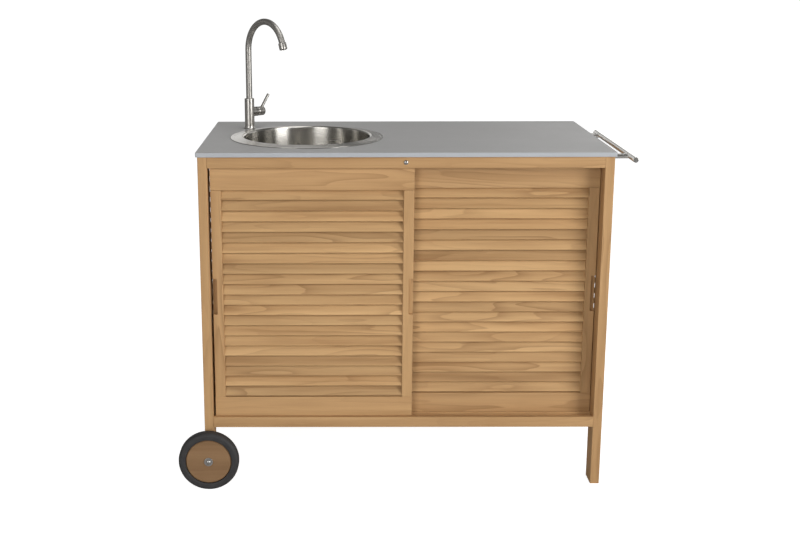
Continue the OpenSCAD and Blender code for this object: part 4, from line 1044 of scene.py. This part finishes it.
@dataclass
class Wheel:
    """One wheel: tyre, wooden disc and nylon bush, on a shouldered bolt."""

    body: Body
    tyre_r: float = 82.5
    half_tyre: float = 16.0
    shoulder: float = 10.0
    crown: float = 4.0
    lips: Profile = ((0, 3), (0.6, 1.2), (2.4, 0.4), (5, 0.1))
    mould_line: Profile = ((0.0, -0.7), (0.0, -0.5), (0.25, 0.0), (0.0, 0.5), (0.0, 0.7))
    key_half: float = 6.0
    key_depth: float = 3.0
    seat_gap: float = 0.1
    disc_r: float = 62.4
    half_disc: float = 13.0
    chamfer: Profile = ((3.2, 0.0), (2.9, 0.2), (0.2, 2.9), (0.0, 3.2))
    bore_r: float = 9.1

    @property
    def name(self) -> str:
        """Front or rear, as the CAD nodes say it."""
        return self.body.value.split("_")[0]

    def build(self) -> None:
        """Builds the tyre and disc, and shows the bush."""
        sign = -1 if self.body is Body.FRONT_WHEEL else 1
        low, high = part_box(f"{self.name}_tyre")
        place = frame_at((low + high) / 2, (0, sign, 0))
        r, out, w, s = self.disc_r + self.seat_gap, self.tyre_r, self.half_tyre, self.shoulder
        key, deep = self.key_half, r - self.key_depth
        tyre = Piece(f"{self.name}_tyre_shown", self.body, TYRE_RUBBER, (f"{self.name}_tyre",))
        tyre.lathe([
            (deep, -key), (r, -key), *[(r + a, b - w) for a, b in self.lips],
            *arc((out - s, s - w), s, -90, -self.crown, 14), *[(out - a, b) for a, b in self.mould_line],
            *arc((out - s, w - s), s, self.crown, 90, 14), *[(r + a, w - b) for a, b in self.lips[::-1]],
            (r, key), (deep, key)], place, steps=128, closed=True)
        tyre.done(44.0)
        h, d = self.half_disc, self.disc_r
        disc = Piece(f"{self.name}_disc_shown", self.body, SHADED_DISC_WOOD, (f"{self.name}_disc",))
        disc.lathe([
            (self.bore_r, -h), *[(d - a, b - h) for a, b in self.chamfer],
            *[(d - a, h - b) for a, b in self.chamfer[::-1]], (self.bore_r, h)],
            place, steps=128, closed=True)
        disc.done(50.0)
        copied(f"{self.name}_bush", self.body, WHITE_NYLON)


@dataclass
class Axles:
    """Bolts, washers and nuts that carry both wheels."""

    thread_r: float = 4.0
    thread_len: float = 70.0
    thread_ease: float = 0.4
    thread_lead: float = 0.5
    shoulder_r: float = 5.0
    washer: float = 1.6
    dome_r: float = 6.5
    dome_h: float = 4.5
    dome_ease: float = 0.2
    nut_ease: float = 0.3

    def build(self) -> None:
        """Builds the domed bolts, and shows the washers and nuts."""
        low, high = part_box("axle_bolts")
        x, z = (low.x + high.x) / 2, (low.z + high.z) / 2
        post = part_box("post_front_left")[0].y
        seat = (high.y + post) / MM - self.dome_h
        r, end, rise = self.thread_r, -self.thread_len, self.dome_h - self.dome_ease
        bolts = Piece("axle_bolts_shown", Body.CABINET, BOLT_STEEL, ("axle_bolts",))
        for sign in (-1, 1):
            bolts.lathe([
                (0, end), (r - self.thread_ease, end), (r, end + self.thread_lead), (r, self.washer),
                (self.shoulder_r, self.washer), (self.shoulder_r, seat), (self.dome_r - self.dome_ease, seat),
                *[(self.dome_r * math.cos(a), seat + self.dome_ease + rise * math.sin(a))
                  for a in map(math.radians, range(0, 90, 5))],
                (0, seat + self.dome_h)], frame_at((x, -sign * post, z), (0, sign, 0)), steps=64)
        bolts.done(50.0)
        copied("axle_washers", Body.CABINET, BOLT_STEEL, ease=self.nut_ease)
        copied("axle_nuts", Body.CABINET, BOLT_STEEL, ease=self.nut_ease)


@dataclass
class PushBar:
    """Steel bar on two posts at the right-hand end."""

    end_ease: float = 1.0
    cap_line: float = 6.0
    line_depth: float = 0.5
    line_half: float = 0.4
    line_floor: float = 0.2
    post_ease: float = 0.4
    post_short: float = 2.0

    def build(self) -> None:
        """Builds the bar with eased ends and end-cap lines, and its posts."""
        low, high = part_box("push_bar")
        centre = (low + high) / 2
        r, half, ease = (high.z - low.z) / 2 / MM, (high.y - low.y) / 2 / MM, self.end_ease
        line, deep = half - self.cap_line, r - self.line_depth
        upper = [
            (r, line - self.line_half), (deep, line - self.line_floor), (deep, line + self.line_floor),
            (r, line + self.line_half), *arc((r - ease, half - ease), ease, 0, 90, 6), (0, half)]
        bar = Piece("push_bar_shown", Body.CABINET, BAR_STEEL, ("push_bar",))
        bar.lathe([(a, -b) for a, b in upper[::-1]] + upper, frame_at(centre, (0, 1, 0)), steps=64)
        bar.done()
        self.build_posts(centre)

    def build_posts(self, centre: Vector) -> None:
        """Builds the two posts, from the cabinet's side into the bar.

        Args:
            centre: Middle of the bar.
        """
        low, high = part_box("bar_standoffs")
        r, length = (high.z - low.z) / 2 / MM, (centre.x - low.x) / MM - self.post_short
        posts = Piece("bar_standoffs_shown", Body.CABINET, BAR_STEEL, ("bar_standoffs",))
        for sign in (-1, 1):
            y = sign * ((high.y - low.y) / 2 - r * MM)
            posts.lathe(
                [(0, 0), (r - self.post_ease, 0), (r, self.post_ease), (r, length), (0, length)],
                frame_at((low.x, y, centre.z), (1, 0, 0)), steps=48)
        posts.done()


@dataclass(frozen=True)
class Strip:
    """An upright strip of light in the room: middle and half width in degrees, and level."""

    middle: float
    half: float
    level: float


@dataclass(frozen=True)
class Lamp:
    """A soft panel light: its place, the point that it faces, its width and height, and its watts."""

    name: str
    place: Place
    size: Point
    watts: float
    aim: Place = (0.0, 0.0, 0.6)


STRIPS = (
    Strip(-26, 12, 2.6), Strip(49, 12, 3.2), Strip(-62, 4, 0.6), Strip(74, 3, 0.4), Strip(-100, 5, 0.45),
    Strip(125, 12, 0.6), Strip(-169, 11, 0.6), Strip(163, 8, 1.4))
LAMPS = (
    Lamp("front_left", (-1.8, -3.7, 1.35), (1.5, 2.4), 21),
    Lamp("front_right", (3.0, -2.6, 1.4), (1.6, 2.4), 66),
    Lamp("overhead", (0.3, -0.2, 3.2), (1.8, 1.2), 23, aim=(0.0, 0.0, 0.9)))


@dataclass
class Studio:
    """Camera, soft lights and a pale floor. None of it belongs to the object."""

    camera_place: Place = (-0.16818, -3.32743, 1.42687)
    camera_turn: Place = (77.0683, 0.0922, 0.0467)
    lens: float = 53.0645
    sensor: float = 36.0
    shift: Point = (0.07462, -0.04905)
    room: float = 0.2
    room_fall: float = 0.08
    room_tint: Tint = (1.0, 0.995, 0.985, 1.0)
    strip_soft: float = 2.5
    strip_top: Point = (0.62, 0.42)
    backdrop: float = 1.05
    floor_size: float = 9.0
    floor_colour: Tint = (0.62, 0.62, 0.62, 1.0)
    floor_glow: float = 0.9

    def build(self) -> None:
        """Builds the studio."""
        self.build_camera()
        self.build_world()
        self.build_floor()
        for lamp in LAMPS:
            self.build_lamp(lamp)

    def build_camera(self) -> None:
        """Places the camera where the photograph was taken from."""
        data = bpy.data.cameras.new("camera")
        data.lens, data.sensor_width, data.sensor_fit = self.lens, self.sensor, "HORIZONTAL"
        data.shift_x, data.shift_y = self.shift
        camera = bpy.data.objects.new("camera", data)
        camera.location = self.camera_place
        camera.rotation_euler = [math.radians(a) for a in self.camera_turn]
        bpy.context.scene.collection.objects.link(camera)
        bpy.context.scene.camera = camera

    def room_light(self, wiring: Wiring) -> Socket:
        """Works out the room's light: an even grey that falls off upwards, with the strips on it.

        Args:
            wiring: The world's node tree.

        Returns:
            The light's strength in each direction.
        """
        way = wiring.split(wiring.node("ShaderNodeTexCoord").outputs["Generated"])
        turn = wiring.math("ARCTAN2", way["X"], wiring.math("MULTIPLY", way["Y"], -1.0))
        fall = wiring.math("MULTIPLY", wiring.math("MAXIMUM", way["Z"], 0.0), self.room_fall)
        light = wiring.math("SUBTRACT", self.room, fall)
        height = wiring.remap(way["Z"], *self.strip_top, smooth=True)
        for strip in STRIPS:
            off = wiring.math("ABSOLUTE", wiring.math("SUBTRACT", turn, math.radians(strip.middle)))
            outer = math.radians(strip.half + self.strip_soft)
            inner = math.radians(strip.half - self.strip_soft)
            edge = wiring.remap(off, outer, inner, 0.0, strip.level, smooth=True)
            light = wiring.math("ADD", light, wiring.math("MULTIPLY", edge, height))
        return light

    def build_world(self) -> None:
        """Surrounds the object with the room, in front of which the camera sees plain white."""
        world = bpy.data.worlds.new("studio")
        bpy.context.scene.world = world
        world.use_nodes = True
        wiring = Wiring(world.node_tree)
        wiring.tree.nodes.clear()
        room = wiring.node("ShaderNodeBackground")
        wiring.feed(room.inputs["Color"], self.room_tint)
        wiring.feed(room.inputs["Strength"], self.room_light(wiring))
        white = wiring.node("ShaderNodeBackground")
        wiring.feed(white.inputs["Color"], WHITE)
        wiring.feed(white.inputs["Strength"], self.backdrop)
        seen = wiring.node("ShaderNodeLightPath").outputs["Is Camera Ray"]
        mix = wiring.node("ShaderNodeMixShader")
        for socket, value in zip(mix.inputs, (seen, room.outputs[0], white.outputs[0])):
            wiring.feed(socket, value)
        wiring.feed(wiring.node("ShaderNodeOutputWorld").inputs[0], mix.outputs[0])

    def build_floor(self) -> None:
        """Lays a plain pale floor, which glows for the camera alone."""
        mesh = bmesh.new()
        bmesh.ops.create_grid(mesh, x_segments=1, y_segments=1, size=self.floor_size)
        data = bpy.data.meshes.new("floor")
        mesh.to_mesh(data)
        mesh.free()
        graph = Graph("floor")
        graph.surface(self.floor_colour, 1.0, specular=0.0)
        seen = graph.node("ShaderNodeLightPath").outputs["Is Camera Ray"]
        graph.feed(graph.shader.inputs["Emission Color"], WHITE)
        graph.feed(graph.shader.inputs["Emission Strength"], graph.math("MULTIPLY", seen, self.floor_glow))
        data.materials.append(graph.material)
        floor = bpy.data.objects.new("floor", data)
        bpy.context.scene.collection.objects.link(floor)

    def build_lamp(self, lamp: Lamp) -> None:
        """Adds one soft panel light.

        Args:
            lamp: The light.
        """
        data = bpy.data.lights.new(lamp.name, "AREA")
        data.shape = "RECTANGLE"
        data.size, data.size_y = lamp.size
        data.energy = lamp.watts
        panel = bpy.data.objects.new(lamp.name, data)
        panel.location = lamp.place
        panel.rotation_euler = (Vector(lamp.aim) - Vector(lamp.place)).to_track_quat("-Z", "Y").to_euler()
        bpy.context.scene.collection.objects.link(panel)


def main() -> None:
    """Builds the object piece by piece, then the studio."""
    logging.basicConfig(level=logging.INFO, format="%(name)s: %(message)s")
    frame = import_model()
    bpy.context.scene.view_settings.view_transform = "Standard"
    assemblies = (
        Cabinet(), SlidingDoor(Body.LEFT_DOOR), SlidingDoor(Body.RIGHT_DOOR), Worktop(), InsetSink(),
        MixerTap(frame["joints"]), Wheel(Body.FRONT_WHEEL), Wheel(Body.REAR_WHEEL), Axles(), PushBar(),
        Studio())
    for assembly in assemblies:
        LOG.info("assembly %s", type(assembly).__name__)
        assembly.build()


if __name__ == "__main__":
    main()
